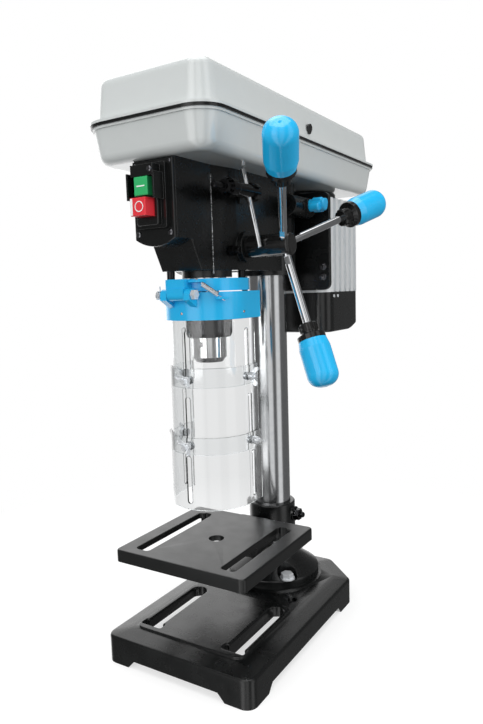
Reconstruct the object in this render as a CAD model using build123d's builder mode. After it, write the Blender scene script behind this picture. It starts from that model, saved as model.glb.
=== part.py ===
"""A bench pillar drill with a hinged chuck guard, built piece by piece.

All lengths are in millimetres. +X is the operator's right, +Y goes to the back and +Z up.
The origin is the centre of the base's rectangle at bench level.
"""
import os
from math import acos, atan2, cos, degrees, hypot, pi, radians, sin, sqrt, tan

from build123d import *

os.makedirs("parts", exist_ok=True)

# Driving dimensions
base_width = 180.0
base_length = 292.0
seat_z = 36.0
spindle_y = -60.0
throat = 129.0
column_radius = 23.0
table_top_z = 123.0
table_width = 158.8
table_length = 155.0
head_bottom_z = 412.0
head_height = 101.0
feed_height = 23.5
quill_radius = 20.0
stroke = 50.0
motor_reach = 103.0
cover_width = 148.0
cover_front_reach = 100.0
cover_back_reach = 87.0
pan_height = 35.3
lid_height = 44.2
guard_length = 242.0

# Gaps between neighbours
fit_gap = 0.02
running_gap = 0.05
free_gap = 0.4

# Heights and axes that several pieces share
head_top_z = head_bottom_z + head_height
bore_top_z = head_top_z - 13.0
feed_axis_z = head_bottom_z + feed_height
cover_split_z = head_top_z + pan_height
cover_top_z = cover_split_z + lid_height
guard_bottom_z = head_bottom_z - guard_length
column_y = spindle_y + throat
motor_y = column_y + motor_reach
motor_distance = motor_y - spindle_y
cover_length = cover_front_reach + motor_distance + cover_back_reach
column_axis = Axis((0, column_y, 0), (0, 0, 1))
spindle_axis = Axis((0, spindle_y, 0), (0, 0, 1))
motor_axis = Axis((0, motor_y, 0), (0, 0, 1))
bottom_up = (Align.CENTER, Align.CENTER, Align.MIN)


def front_plane(y):
    """A plane drawn in X and Z at the given Y; its extrusions run to the front."""
    return Plane.XZ.offset(-y)


def side_plane(x):
    """A plane drawn in Y and Z at the given X; its extrusions run to the right."""
    return Plane.YZ.offset(x)


# Base casting: a hollow tray on four feet with a raised pad and a seat for the column
rear_chamfer = 44.0
front_corner = 12.0
base_edge_z = 29.6
base_edge_round = 3.0
base_border_z = 33.0
border_run = 20.0
base_wall = 7.0
base_deck = 9.0
base_cavity_z = base_border_z - base_deck
relief_height = 8.5
pad_top_z = seat_z - 0.5
pad_corner = 9.0
pad_edge_round = 1.2
pad_width = 132.0
pad_front = -124.0
pad_back = -8.0
pad_slot_x = 52.0
pad_slot_width = 11.0
pad_slot_front = -117.0
pad_slot_back = -20.0
pad_notch = (18.0, 9.0)
seat_radius = 60.0
bench_hole = (54.0, 13.0)
bench_hole_radius = 5.5
bench_boss_radius = 12.0
flange_bolt_ring = 48.0
flange_bolt_start = -42.0
flange_bolt_radius = 4.0
rib_thickness = 5.0
foot_width = 38.0
front_foot_length = 42.0
rear_foot_length = 83.0
relief_slope = 8.0


def base_outline(inset):
    """Corner points of the base's plan, drawn in by the given amount."""
    side = base_width / 2 - inset
    end = base_length / 2 - inset
    cut = rear_chamfer - inset * (2 - sqrt(2))
    right = [(side, -end), (side, end - cut), (side - cut, end)]
    left = [(-x, y) for x, y in reversed(right)]
    return right + left


with BuildPart() as base:
    with BuildSketch():
        Polygon(*base_outline(0), align=None)
        fillet(vertices(), front_corner)
    extrude(amount=base_edge_z)
    with BuildSketch(Plane.XY.offset(base_edge_z)):
        Polygon(*base_outline(0), align=None)
        fillet(vertices(), front_corner)
    with BuildSketch(Plane.XY.offset(base_border_z)):
        Polygon(*base_outline(border_run), align=None)
        fillet(vertices(), front_corner / 3)
    loft(ruled=True)
    fillet(edges().filter_by_position(Axis.Z, base_edge_z - 0.1, base_edge_z + 0.1), base_edge_round)
    with BuildSketch():
        Polygon(*base_outline(base_wall), align=None)
        fillet(vertices(), front_corner - base_wall)
    extrude(amount=base_cavity_z, mode=Mode.SUBTRACT)
    with BuildSketch(Plane.XY.offset(base_edge_z - 2)):
        with Locations((0, (pad_front + pad_back) / 2)):
            RectangleRounded(pad_width, pad_back - pad_front, pad_corner)
    extrude(amount=pad_top_z - base_edge_z + 2)
    fillet(faces().sort_by(Axis.Z)[-1].outer_wire().edges(), pad_edge_round)
    with BuildSketch(Plane.XY.offset(relief_height)):
        with Locations((0, column_y)):
            Circle(seat_radius)
        with GridLocations(2 * bench_hole[0], 0, 2, 1):
            with Locations((0, bench_hole[1])):
                Circle(bench_boss_radius)
    extrude(amount=base_edge_z - relief_height)
    with BuildSketch(Plane.XY.offset(base_edge_z)):
        with Locations((0, column_y)):
            Circle(seat_radius)
    extrude(amount=seat_z - base_edge_z)
    with BuildSketch(Plane.XY.offset(relief_height + 1)):
        with GridLocations(base_width / 3, 0, 2, 1):
            Rectangle(rib_thickness, base_length - base_wall)
    extrude(amount=base_cavity_z - relief_height - 1)
    with BuildSketch():
        with GridLocations(2 * pad_slot_x, 0, 2, 1):
            with Locations((0, (pad_slot_front + pad_slot_back) / 2)):
                Rectangle(pad_slot_width, pad_slot_back - pad_slot_front)
            with Locations((0, pad_slot_back)):
                Circle(pad_slot_width / 2)
            with Locations((0, pad_slot_front + pad_notch[1] / 2)):
                Rectangle(*pad_notch)
        with GridLocations(2 * bench_hole[0], 0, 2, 1):
            with Locations((0, bench_hole[1])):
                Circle(bench_hole_radius)
    extrude(amount=seat_z, mode=Mode.SUBTRACT)
    with BuildSketch(Plane.XY.offset(relief_height)):
        with Locations((0, column_y)):
            with PolarLocations(flange_bolt_ring, 3, flange_bolt_start):
                Circle(flange_bolt_radius + fit_gap)
    extrude(amount=seat_z, mode=Mode.SUBTRACT)
    front_relief = base_width / 2 - foot_width + relief_slope
    with BuildSketch(front_plane(-base_length / 2 + 2 * base_wall)):
        Polygon(
            (-front_relief, 0),
            (front_relief, 0),
            (front_relief - relief_slope, relief_height),
            (relief_slope - front_relief, relief_height),
            align=None,
        )
    extrude(amount=2 * base_wall, mode=Mode.SUBTRACT)
    relief_start = front_foot_length - relief_slope - base_length / 2
    relief_end = base_length / 2 - rear_foot_length + relief_slope
    with BuildSketch(Plane.YZ):
        Polygon(
            (relief_start, 0),
            (relief_end, 0),
            (relief_end - relief_slope, relief_height),
            (relief_start + relief_slope, relief_height),
            align=None,
        )
    extrude(amount=base_width, both=True, mode=Mode.SUBTRACT)
base.part.label = "base"
export_step(base.part, "parts/base.step")

# Column flange: the cast foot that holds the column, with a spot face under each bolt
flange_radius = 56.5
flange_rim_z = seat_z + 10.0
flange_neck_radius = 31.0
flange_cone_z = seat_z + 26.0
flange_top_z = seat_z + 42.0
spot_face_radius = 12.0
flange_rim_round = 3.0
flange_cone_round = 6.0
column_bore = column_radius + running_gap - fit_gap / 2

with BuildPart() as column_flange:
    with BuildSketch(front_plane(column_y)):
        Polygon(
            (column_bore, seat_z),
            (flange_radius, seat_z),
            (flange_radius, flange_rim_z),
            (flange_neck_radius + 2, flange_cone_z),
            (flange_neck_radius, flange_top_z),
            (column_bore, flange_top_z),
            align=None,
        )
    revolve(axis=column_axis)
    for height, radius in ((flange_rim_z, flange_rim_round), (flange_cone_z, flange_cone_round)):
        circles = edges().filter_by(GeomType.CIRCLE)
        fillet(circles.filter_by_position(Axis.Z, height - 1, height + 1), radius)
    with BuildSketch(Plane.XY.offset(flange_rim_z - 1)):
        with Locations((0, column_y)):
            with PolarLocations(flange_bolt_ring, 3, flange_bolt_start):
                Circle(spot_face_radius)
    extrude(amount=flange_top_z, mode=Mode.SUBTRACT)
    with BuildSketch(Plane.XY.offset(seat_z)):
        with Locations((0, column_y)):
            with PolarLocations(flange_bolt_ring, 3, flange_bolt_start):
                Circle(flange_bolt_radius + free_gap)
    extrude(amount=flange_rim_z - seat_z, mode=Mode.SUBTRACT)
column_flange.part.label = "column_flange"
export_step(column_flange.part, "parts/column_flange.step")

# Flange bolts: three hex bolts, each with its washer, screwed into the base
bolt_seat_z = flange_rim_z - 1
bolt_head = (6.5, 5.5)
bolt_washer = (9.0, 1.6)
bolt_length = 22.0
bolt_chamfer = 0.6

with BuildPart() as flange_bolts:
    with Locations((0, column_y, bolt_seat_z)):
        with PolarLocations(flange_bolt_ring, 3, flange_bolt_start):
            Cylinder(*bolt_washer, align=bottom_up)
            with Locations((0, 0, -bolt_length)):
                Cylinder(flange_bolt_radius, bolt_length, align=bottom_up)
    with BuildSketch(Plane.XY.offset(bolt_seat_z + bolt_washer[1])):
        with Locations((0, column_y)):
            with PolarLocations(flange_bolt_ring, 3, flange_bolt_start):
                RegularPolygon(bolt_head[0], 6, major_radius=False)
    extrude(amount=bolt_head[1])
    chamfer(faces().group_by(Axis.Z)[-1].edges(), bolt_chamfer)
flange_bolts.part.label = "flange_bolts"
export_step(flange_bolts.part, "parts/flange_bolts.step")

# Column: a plain steel tube from the base up into the head
column_wall = 3.5

with BuildPart() as column:
    with BuildSketch(Plane.XY.offset(seat_z)):
        with Locations((0, column_y)):
            Circle(column_radius)
            Circle(column_radius - column_wall, mode=Mode.SUBTRACT)
    extrude(amount=bore_top_z - seat_z)
column.part.label = "column"
export_step(column.part, "parts/column.step")

# Table bracket: a clamp collar on the column with an arm whose face carries the tilting table
collar_radius = 28.5
collar_bottom_z = table_top_z - 39.0
collar_top_z = table_top_z + 6.0
tilt_z = table_top_z - 29.0
tilt_face_y = column_y - 43.0
tilt_bolt_radius = 5.0
tilt_hole_end_y = column_y - column_radius - 6.0
arm_half = 18.0
arm_round = 6.0
collar_chamfer = 1.2
arm_top_z = table_top_z - 11.0
lock_y = column_y + 3.0
lock_z = table_top_z - 9.0
lock_boss_radius = 9.0
lock_boss_x = collar_radius + 2.5
lock_stud_radius = 3.5

with BuildPart() as table_bracket:
    with BuildSketch(Plane.XY.offset(collar_bottom_z)):
        with Locations((0, column_y)):
            Circle(collar_radius)
    extrude(amount=collar_top_z - collar_bottom_z)
    chamfer(edges().group_by(Axis.Z)[-1], collar_chamfer)
    with BuildSketch(Plane.XY.offset(collar_bottom_z)):
        with Locations((0, (tilt_face_y + column_y) / 2)):
            Rectangle(2 * arm_half, column_y - tilt_face_y)
    extrude(amount=arm_top_z - collar_bottom_z)
    fillet(edges().filter_by(Axis.Y), arm_round)
    with BuildSketch(side_plane(0)):
        with Locations((lock_y, lock_z)):
            Circle(lock_boss_radius)
    extrude(amount=lock_boss_x)
    with BuildSketch(Plane.XY.offset(collar_bottom_z)):
        with Locations((0, column_y)):
            Circle(column_bore)
    extrude(amount=collar_top_z, mode=Mode.SUBTRACT)
    with BuildSketch(side_plane(column_radius - 3)):
        with Locations((lock_y, lock_z)):
            Circle(lock_stud_radius + running_gap)
    extrude(amount=lock_boss_x, mode=Mode.SUBTRACT)
    with BuildSketch(front_plane(tilt_hole_end_y)):
        with Locations((0, tilt_z)):
            Circle(tilt_bolt_radius + fit_gap)
    extrude(amount=throat, mode=Mode.SUBTRACT)
table_bracket.part.label = "table_bracket"
export_step(table_bracket.part, "parts/table_bracket.step")

# Table lock: a stud with a collar that is turned to clamp the bracket on the column
lock_collar = (6.5, 6.0)
lock_stud_end = lock_boss_x + 12.0
lock_stud_round = 2.5

with BuildPart() as table_lock:
    with BuildSketch(side_plane(column_radius + free_gap)):
        with Locations((lock_y, lock_z)):
            Circle(lock_stud_radius)
    extrude(amount=lock_stud_end - column_radius - free_gap)
    fillet(edges().sort_by(Axis.X)[-1], lock_stud_round)
    with BuildSketch(side_plane(lock_boss_x + free_gap)):
        with Locations((lock_y, lock_z)):
            RegularPolygon(lock_collar[0], 6, major_radius=False)
    extrude(amount=lock_collar[1])
table_lock.part.label = "table_lock"
export_step(table_lock.part, "parts/table_lock.step")

# Table: a ribbed plate with two slots, a centre hole and a lug for the tilt bolt
table_thickness = 13.0
table_rim = 7.0
table_deck = 7.0
table_back = tilt_face_y - 7.0
table_front = table_back - table_length
table_middle = (table_front + table_back) / 2
table_corner = 6.0
table_edge_round = 2.0
table_hole_radius = 8.5
table_hole_boss = 7.0
table_slot_x = 51.0
table_slot_width = 9.5
table_slot_corner = 2.3
table_slot_front = table_front + 14.0
table_slot_back = table_back - 17.0
table_slot_wall = 5.0
tongue_width = 36.0
tongue_drop = 3.0
lug_front = table_back - 22.0
lug_round = 10.0
lug_back = tilt_face_y - running_gap
lug_bottom_z = tilt_z - 13.0
table_bottom_z = table_top_z - table_thickness

with BuildPart() as table:
    with BuildSketch(Plane.XY.offset(table_bottom_z)):
        with Locations((0, table_middle)):
            RectangleRounded(table_width, table_length, table_corner)
    extrude(amount=table_thickness)
    fillet(faces().sort_by(Axis.Z)[-1].outer_wire().edges(), table_edge_round)
    with BuildSketch(Plane.XY.offset(table_bottom_z)):
        with Locations((0, table_middle)):
            RectangleRounded(table_width - 2 * table_rim, table_length - 2 * table_rim, table_corner / 2)
    extrude(amount=table_thickness - table_deck, mode=Mode.SUBTRACT)
    with BuildSketch(Plane.XY.offset(table_bottom_z)):
        with Locations((0, table_middle)):
            with GridLocations(2 * table_slot_x, 0, 2, 1):
                Rectangle(table_slot_width + 2 * table_slot_wall, table_length - table_rim)
            Rectangle(table_width - table_rim, rib_thickness)
        with Locations((0, spindle_y)):
            Circle(table_hole_radius + table_hole_boss)
    extrude(amount=table_thickness - table_deck)
    with BuildSketch(Plane.XY.offset(lug_bottom_z)):
        with Locations((0, (lug_front + lug_back) / 2)):
            Rectangle(tongue_width, lug_back - lug_front)
    extrude(amount=table_bottom_z + table_thickness - table_deck - lug_bottom_z)
    fillet(edges().filter_by(Axis.Y).group_by(Axis.Z)[0], lug_round)
    with BuildSketch(Plane.XY.offset(table_bottom_z + 1)):
        with Locations((0, table_back)):
            Rectangle(tongue_width, 2 * (lug_back - table_back))
    extrude(amount=table_thickness - tongue_drop - 1)
    with BuildSketch(Plane.XY.offset(table_bottom_z)):
        with GridLocations(2 * table_slot_x, 0, 2, 1):
            with Locations((0, (table_slot_front + table_slot_back) / 2)):
                RectangleRounded(table_slot_width, table_slot_back - table_slot_front, table_slot_corner)
        with Locations((0, spindle_y)):
            Circle(table_hole_radius)
    extrude(amount=table_thickness, mode=Mode.SUBTRACT)
    with BuildSketch(front_plane(lug_back)):
        with Locations((0, tilt_z)):
            Circle(tilt_bolt_radius + free_gap)
    extrude(amount=lug_back - lug_front, mode=Mode.SUBTRACT)
table.part.label = "table"
export_step(table.part, "parts/table.step")

# Tilt bolt: screwed into the bracket's arm through the table's lug
tilt_head = (8.5, 7.0)

with BuildPart() as table_tilt_bolt:
    with BuildSketch(front_plane(tilt_hole_end_y - 2)):
        with Locations((0, tilt_z)):
            Circle(tilt_bolt_radius)
    extrude(amount=tilt_hole_end_y - 2 - lug_front + tilt_head[1])
    with BuildSketch(front_plane(lug_front - running_gap)):
        with Locations((0, tilt_z)):
            RegularPolygon(tilt_head[0], 6, major_radius=False)
    extrude(amount=tilt_head[1])
table_tilt_bolt.part.label = "table_tilt_bolt"
export_step(table_tilt_bolt.part, "parts/table_tilt_bolt.step")

# Feed gear: the pinion's module and the rack cut in the quill's back
gear_module = 1.25
pinion_teeth = 14
gear_backlash = 0.35
pressure_angle = radians(20)
tooth_height = 0.8 * gear_module
rack_depth = 2.25
pinion_pitch_radius = gear_module * pinion_teeth / 2
pinion_tip_radius = pinion_pitch_radius + tooth_height
pinion_root_radius = pinion_pitch_radius - gear_module
rack_pitch = pi * gear_module
feed_y = spindle_y + quill_radius - rack_depth + pinion_pitch_radius
rack_pitch_y = feed_y - pinion_pitch_radius
feed_journal_radius = 10.0
feed_tail_radius = 7.0

# Head casting: a narrow nose with the quill bore, cheeks and a socket for the column
nose_half = 23.6
nose_front = spindle_y - 81.0
nose_side_z = head_bottom_z + 29.0
nose_middle_z = head_bottom_z + 22.0
chin_y = spindle_y - 44.0
chin_top_y = spindle_y - 59.4
seam_y = spindle_y - 24.0
seam_half = 24.0
cheek_y = spindle_y + 12.0
cheek_half = 30.0
socket_radius = 35.0
socket_bottom_z = head_bottom_z - 5.0
quill_boss_radius = 26.0
quill_boss_z = head_bottom_z - 7.0
quill_top_z = head_top_z - 16.0
journal_radius = 14.0
feed_boss_radius = 16.0
feed_boss_x = cheek_half + 6.0
rod_x = 41.0
rod_z = head_top_z - 28.0
rod_radius = 7.0
ear_radius = 12.0
ear_front = column_y - 24.0
ear_back = column_y + 29.0
tension_y = column_y + 6.0
tension_stub_x = rod_x + 15.0
tension_screw_radius = 3.0
post_radius = 4.0
post_depth = 10.0
post_places = [(-19.0, spindle_y - 37.0), (24.0, spindle_y + 30.0)]
guide_y = spindle_y + 1.0
guide_z = head_bottom_z + 19.0
guide_radius = 3.0
switch_middle_z = head_top_z - 34.0
switch_pocket = (33.0, 56.0, 29.0)
chin_overlap = 4.0
feed_bore_start_x = -13.0
core_pocket = (46.0, 40.0, 6.0)
core_pocket_y = (feed_y + column_y) / 2 - 12.0

with BuildPart() as head:
    with BuildSketch(Plane.XY.offset(head_bottom_z)):
        Polygon(
            (-nose_half, nose_front),
            (nose_half, nose_front),
            (seam_half, seam_y),
            (cheek_half, cheek_y),
            (cheek_half, column_y),
            (-cheek_half, column_y),
            (-cheek_half, cheek_y),
            (-seam_half, seam_y),
            align=None,
        )
        with Locations((0, column_y)):
            Circle(socket_radius)
    extrude(amount=head_top_z - head_bottom_z)
    with BuildSketch(Plane.YZ):
        Polygon(
            (chin_y, head_bottom_z),
            (chin_top_y, nose_side_z),
            (2 * nose_front, nose_side_z),
            (2 * nose_front, head_bottom_z),
            align=None,
        )
    extrude(amount=base_width, both=True, mode=Mode.SUBTRACT)
    with BuildSketch(front_plane(chin_top_y)):
        with BuildLine():
            ThreePointArc((-nose_half, nose_side_z), (0, nose_middle_z), (nose_half, nose_side_z))
            Polyline(
                (nose_half, nose_side_z),
                (nose_half, nose_side_z + chin_overlap),
                (-nose_half, nose_side_z + chin_overlap),
                (-nose_half, nose_side_z),
            )
        make_face()
    extrude(amount=chin_top_y - nose_front)
    with BuildSketch(Plane.XY.offset(quill_boss_z)):
        with Locations((0, spindle_y)):
            Circle(quill_boss_radius)
    extrude(amount=head_bottom_z - quill_boss_z)
    with BuildSketch(Plane.XY.offset(socket_bottom_z)):
        with Locations((0, column_y)):
            Circle(socket_radius)
    extrude(amount=head_bottom_z - socket_bottom_z)
    with BuildSketch(side_plane(0)):
        with Locations((feed_y, feed_axis_z)):
            Circle(feed_boss_radius)
    extrude(amount=feed_boss_x)
    with BuildSketch(front_plane(ear_back)):
        with Locations((-rod_x, rod_z), (rod_x, rod_z)):
            Circle(ear_radius)
        with Locations((0, rod_z)):
            Rectangle(2 * rod_x, 1.5 * ear_radius)
    extrude(amount=ear_back - ear_front)
    with BuildSketch(side_plane(rod_x)):
        with Locations((tension_y, rod_z)):
            Circle(rod_radius + 1)
    extrude(amount=tension_stub_x - rod_x)
    with BuildSketch(Plane.XY.offset(quill_boss_z)):
        with Locations((0, spindle_y)):
            Circle(quill_radius + running_gap)
    extrude(amount=bore_top_z - quill_boss_z, mode=Mode.SUBTRACT)
    with BuildSketch(Plane.XY.offset(bore_top_z)):
        with Locations((0, spindle_y)):
            Circle(journal_radius + running_gap)
    extrude(amount=head_top_z, mode=Mode.SUBTRACT)
    with BuildSketch(Plane.XY.offset(socket_bottom_z)):
        with Locations((0, column_y)):
            Circle(column_bore)
    extrude(amount=bore_top_z - socket_bottom_z, mode=Mode.SUBTRACT)
    with BuildSketch(side_plane(feed_bore_start_x)):
        with Locations((feed_y, feed_axis_z)):
            Circle(feed_journal_radius + running_gap)
    extrude(amount=base_width, mode=Mode.SUBTRACT)
    with BuildSketch(side_plane(-base_width / 2)):
        with Locations((feed_y, feed_axis_z)):
            Circle(feed_tail_radius + running_gap)
    extrude(amount=base_width / 2, mode=Mode.SUBTRACT)
    with BuildSketch(front_plane(ear_back)):
        with Locations((-rod_x, rod_z), (rod_x, rod_z)):
            Circle(rod_radius + running_gap)
    extrude(amount=ear_back - ear_front, mode=Mode.SUBTRACT)
    with BuildSketch(side_plane(rod_x)):
        with Locations((tension_y, rod_z)):
            Circle(tension_screw_radius + running_gap)
    extrude(amount=base_width, mode=Mode.SUBTRACT)
    with BuildSketch(Plane.XY.offset(head_bottom_z)):
        with Locations(*post_places):
            Circle(post_radius + fit_gap)
    extrude(amount=post_depth, mode=Mode.SUBTRACT)
    with BuildSketch(side_plane(0)):
        with Locations((guide_y, guide_z)):
            Circle(guide_radius + fit_gap)
    extrude(amount=base_width, mode=Mode.SUBTRACT)
    with BuildSketch(front_plane(nose_front + switch_pocket[2])):
        with Locations((0, switch_middle_z)):
            Rectangle(switch_pocket[0], switch_pocket[1])
    extrude(amount=switch_pocket[2], mode=Mode.SUBTRACT)
    with BuildSketch(Plane.XY.offset(head_bottom_z)):
        with Locations((0, core_pocket_y)):
            RectangleRounded(*core_pocket)
    extrude(amount=bore_top_z - head_bottom_z, mode=Mode.SUBTRACT)
head.part.label = "head"
export_step(head.part, "parts/head.step")

# Switch plate: the D-shaped front plate of the nose with a window for the switch
plate_thickness = 3.0
plate_front = nose_front - plate_thickness
plate_top_z = head_top_z - 1.0
plate_half = nose_half - 0.3
plate_edge_round = plate_thickness / 3

with BuildPart() as switch_plate:
    with BuildSketch(front_plane(nose_front)):
        with BuildLine():
            ThreePointArc((-plate_half, nose_side_z), (0, nose_middle_z), (plate_half, nose_side_z))
            Polyline(
                (plate_half, nose_side_z),
                (plate_half, plate_top_z),
                (-plate_half, plate_top_z),
                (-plate_half, nose_side_z),
            )
        make_face()
        with Locations((0, switch_middle_z)):
            Rectangle(switch_pocket[0], switch_pocket[1], mode=Mode.SUBTRACT)
    extrude(amount=plate_thickness)
    fillet(faces().sort_by(Axis.Y)[0].outer_wire().edges(), plate_edge_round)
switch_plate.part.label = "switch_plate"
export_step(switch_plate.part, "parts/switch_plate.step")

# Switch body: a block behind the plate, its flange, and the bezel with its hood and two side rails
bezel_flange = (36.0, 58.0, 5.0)
bezel_depth = 10.0
bezel_width = 25.0
bezel_height = 53.0
bezel_corner = 2.0
bezel_edge_round = 1.2
button_edge_round = 0.8
bezel_front = plate_front - bezel_depth
hood_height = 10.0
hood_depth = 6.0
rail_x = 15.0
rail_size = (1.5, 23.5)
rail_front = bezel_front - 8.7
start_size = (15.5, 16.5)
start_z = switch_middle_z + 7.5
stop_size = (17.5, 16.0)
stop_z = switch_middle_z - 11.0
button_back = bezel_front + 8.0
button_travel = 3.0

with BuildPart() as switch_body:
    with BuildSketch(front_plane(nose_front + switch_pocket[2] - 2)):
        with Locations((0, switch_middle_z)):
            Rectangle(switch_pocket[0] - 1, switch_pocket[1] - 1)
    extrude(amount=switch_pocket[2] - 2 + plate_thickness)
    with BuildSketch(front_plane(plate_front)):
        with Locations((0, switch_middle_z)):
            RectangleRounded(bezel_flange[0], bezel_flange[1], bezel_corner)
    extrude(amount=bezel_flange[2])
    with BuildSketch(front_plane(plate_front)):
        with Locations((0, switch_middle_z)):
            RectangleRounded(bezel_width, bezel_height, bezel_corner)
    extrude(amount=bezel_depth)
    fillet(faces().sort_by(Axis.Y)[0].outer_wire().edges(), bezel_edge_round)
    with BuildSketch(front_plane(plate_front)):
        with Locations((0, switch_middle_z + bezel_height / 2 - hood_height / 2)):
            Rectangle(bezel_width, hood_height)
    extrude(amount=bezel_depth + hood_depth)
    with BuildSketch(front_plane(plate_front)):
        with Locations((-rail_x, start_z), (rail_x, start_z)):
            Rectangle(*rail_size)
    extrude(amount=plate_front - rail_front)
    with BuildSketch(front_plane(button_back + button_travel + 1)):
        with Locations((0, start_z)):
            Rectangle(start_size[0] + 2 * free_gap, start_size[1] + 2 * free_gap)
        with Locations((0, stop_z)):
            Rectangle(stop_size[0] + 2 * free_gap, stop_size[1] + 2 * free_gap)
    extrude(amount=base_width, mode=Mode.SUBTRACT)
switch_body.part.label = "switch_body"
export_step(switch_body.part, "parts/switch_body.step")

# Start button: level with the rails beside it
start_front = bezel_front - 7.6

with BuildPart() as start_button:
    with BuildSketch(front_plane(button_back)):
        with Locations((0, start_z)):
            Rectangle(*start_size)
    extrude(amount=button_back - start_front)
    fillet(faces().sort_by(Axis.Y)[0].edges(), button_edge_round)
start_button.part.label = "start_button"
export_step(start_button.part, "parts/start_button.step")

# Stop button: stands well proud so that it can be hit
stop_front = bezel_front - 12.9

with BuildPart() as stop_button:
    with BuildSketch(front_plane(button_back)):
        with Locations((0, stop_z)):
            Rectangle(*stop_size)
    extrude(amount=button_back - stop_front)
    fillet(faces().sort_by(Axis.Y)[0].edges(), button_edge_round)
stop_button.part.label = "stop_button"
export_step(stop_button.part, "parts/stop_button.step")

# Quill: a sleeve with a rack cut across its back and a keyway for the guide screw
quill_bottom_z = quill_boss_z - 9.0
bearing_radius = 15.0
bearing_height = 11.0
quill_bore = 12.0
spindle_radius = 7.5
keyway_depth = 4.5
rack_teeth = round((stroke + 2 * pinion_tip_radius) / rack_pitch)
rack_start_z = feed_axis_z - 3 * rack_pitch
rack_tip_y = rack_pitch_y + tooth_height
rack_root_y = rack_pitch_y - gear_module

with BuildPart() as quill:
    with BuildSketch(Plane.XY.offset(quill_bottom_z)):
        with Locations((0, spindle_y)):
            Circle(quill_radius)
            Circle(quill_bore, mode=Mode.SUBTRACT)
    extrude(amount=quill_top_z - quill_bottom_z)
    for seat in (quill_bottom_z, quill_top_z - bearing_height):
        with BuildSketch(Plane.XY.offset(seat)):
            with Locations((0, spindle_y)):
                Circle(bearing_radius + fit_gap)
        extrude(amount=bearing_height, mode=Mode.SUBTRACT)
    with BuildSketch(Plane.YZ):
        rack_line = [(spindle_y + 2 * quill_radius, rack_start_z), (rack_tip_y, rack_start_z)]
        for tooth in range(rack_teeth):
            middle = rack_start_z + (tooth + 0.5) * rack_pitch
            tip_half = rack_pitch / 4 - tooth_height * tan(pressure_angle) - gear_backlash / 4
            root_half = rack_pitch / 4 + gear_module * tan(pressure_angle) - gear_backlash / 4
            rack_line += [
                (rack_root_y, middle - root_half),
                (rack_tip_y, middle - tip_half),
                (rack_tip_y, middle + tip_half),
                (rack_root_y, middle + root_half),
            ]
        rack_end_z = rack_start_z + rack_teeth * rack_pitch
        rack_line += [(rack_tip_y, rack_end_z), (spindle_y + 2 * quill_radius, rack_end_z)]
        Polygon(*rack_line, align=None)
    extrude(amount=quill_radius, both=True, mode=Mode.SUBTRACT)
    with BuildSketch(side_plane(quill_radius - keyway_depth)):
        with Locations((guide_y, guide_z + stroke / 2)):
            Rectangle(2 * (guide_radius + free_gap), stroke + 2 * guide_radius + 3)
    extrude(amount=quill_radius, mode=Mode.SUBTRACT)
quill.part.label = "quill"
export_step(quill.part, "parts/quill.step")

# Quill bearings: one ring at each end of the quill
with BuildPart() as quill_bearings:
    for seat in (quill_bottom_z, quill_top_z - bearing_height):
        with BuildSketch(Plane.XY.offset(seat)):
            with Locations((0, spindle_y)):
                Circle(bearing_radius)
                Circle(spindle_radius + running_gap, mode=Mode.SUBTRACT)
        extrude(amount=bearing_height)
quill_bearings.part.label = "quill_bearings"
export_step(quill_bearings.part, "parts/quill_bearings.step")

# Spindle: a nose for the chuck, a shoulder under the quill and a splined drive end
chuck_top_z = quill_bottom_z - 21.0
spindle_nose_z = chuck_top_z - 15.0
spindle_shoulder_radius = 12.0
spline_radius = 7.0
spline_start_z = quill_top_z + 3.0
spindle_top_z = cover_top_z - 15.0
spline_grooves = 6
spline_groove = (2.0, 2.6)

with BuildPart() as spindle:
    with BuildSketch(front_plane(spindle_y)):
        Polygon(
            (0, spindle_nose_z),
            (spindle_radius, spindle_nose_z),
            (spindle_radius, chuck_top_z + free_gap),
            (spindle_shoulder_radius, chuck_top_z + free_gap),
            (spindle_shoulder_radius, quill_bottom_z - free_gap),
            (spindle_radius, quill_bottom_z - free_gap),
            (spindle_radius, spline_start_z),
            (spline_radius, spline_start_z),
            (spline_radius, spindle_top_z),
            (0, spindle_top_z),
            align=None,
        )
    revolve(axis=spindle_axis)
    with BuildSketch(Plane.XY.offset(spline_start_z + 1)):
        with Locations((0, spindle_y)):
            with PolarLocations(spline_radius, spline_grooves):
                Rectangle(*spline_groove)
    extrude(amount=spindle_top_z, mode=Mode.SUBTRACT)
spindle.part.label = "spindle"
export_step(spindle.part, "parts/spindle.step")

# Chuck jaws: three inclined pins that close on the drill
jaw_tilt = radians(15)
jaw_radius = 3.0
jaw_length = 27.0
jaw_stroke = 23.5
jaw_closed_radius = 3.6
jaw_point = 1.2
chuck_bottom_z = chuck_top_z - 57.0
jaw_closed_z = chuck_bottom_z - 4.0
drill_radius = 6.4


def jaw_plane(number, back_off):
    """The plane at a jaw's tip, facing up along the jaw, drawn back by the given distance."""
    turn = radians(120 * number + 90)
    reach = jaw_closed_radius + back_off * sin(jaw_tilt)
    tip = (reach * cos(turn), spindle_y + reach * sin(turn), jaw_closed_z + back_off * cos(jaw_tilt))
    along = (sin(jaw_tilt) * cos(turn), sin(jaw_tilt) * sin(turn), cos(jaw_tilt))
    return Plane(origin=tip, x_dir=(-sin(turn), cos(turn), 0), z_dir=along)


for number in range(3):
    with BuildPart() as jaw:
        with BuildSketch(jaw_plane(number, jaw_stroke)):
            Circle(jaw_radius)
        extrude(amount=jaw_length)
        chamfer(faces().sort_by(Axis.Z)[0].edges(), jaw_point)
    jaw.part.label = f"chuck_jaw_{number + 1}"
    export_step(jaw.part, f"parts/chuck_jaw_{number + 1}.step")

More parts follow.
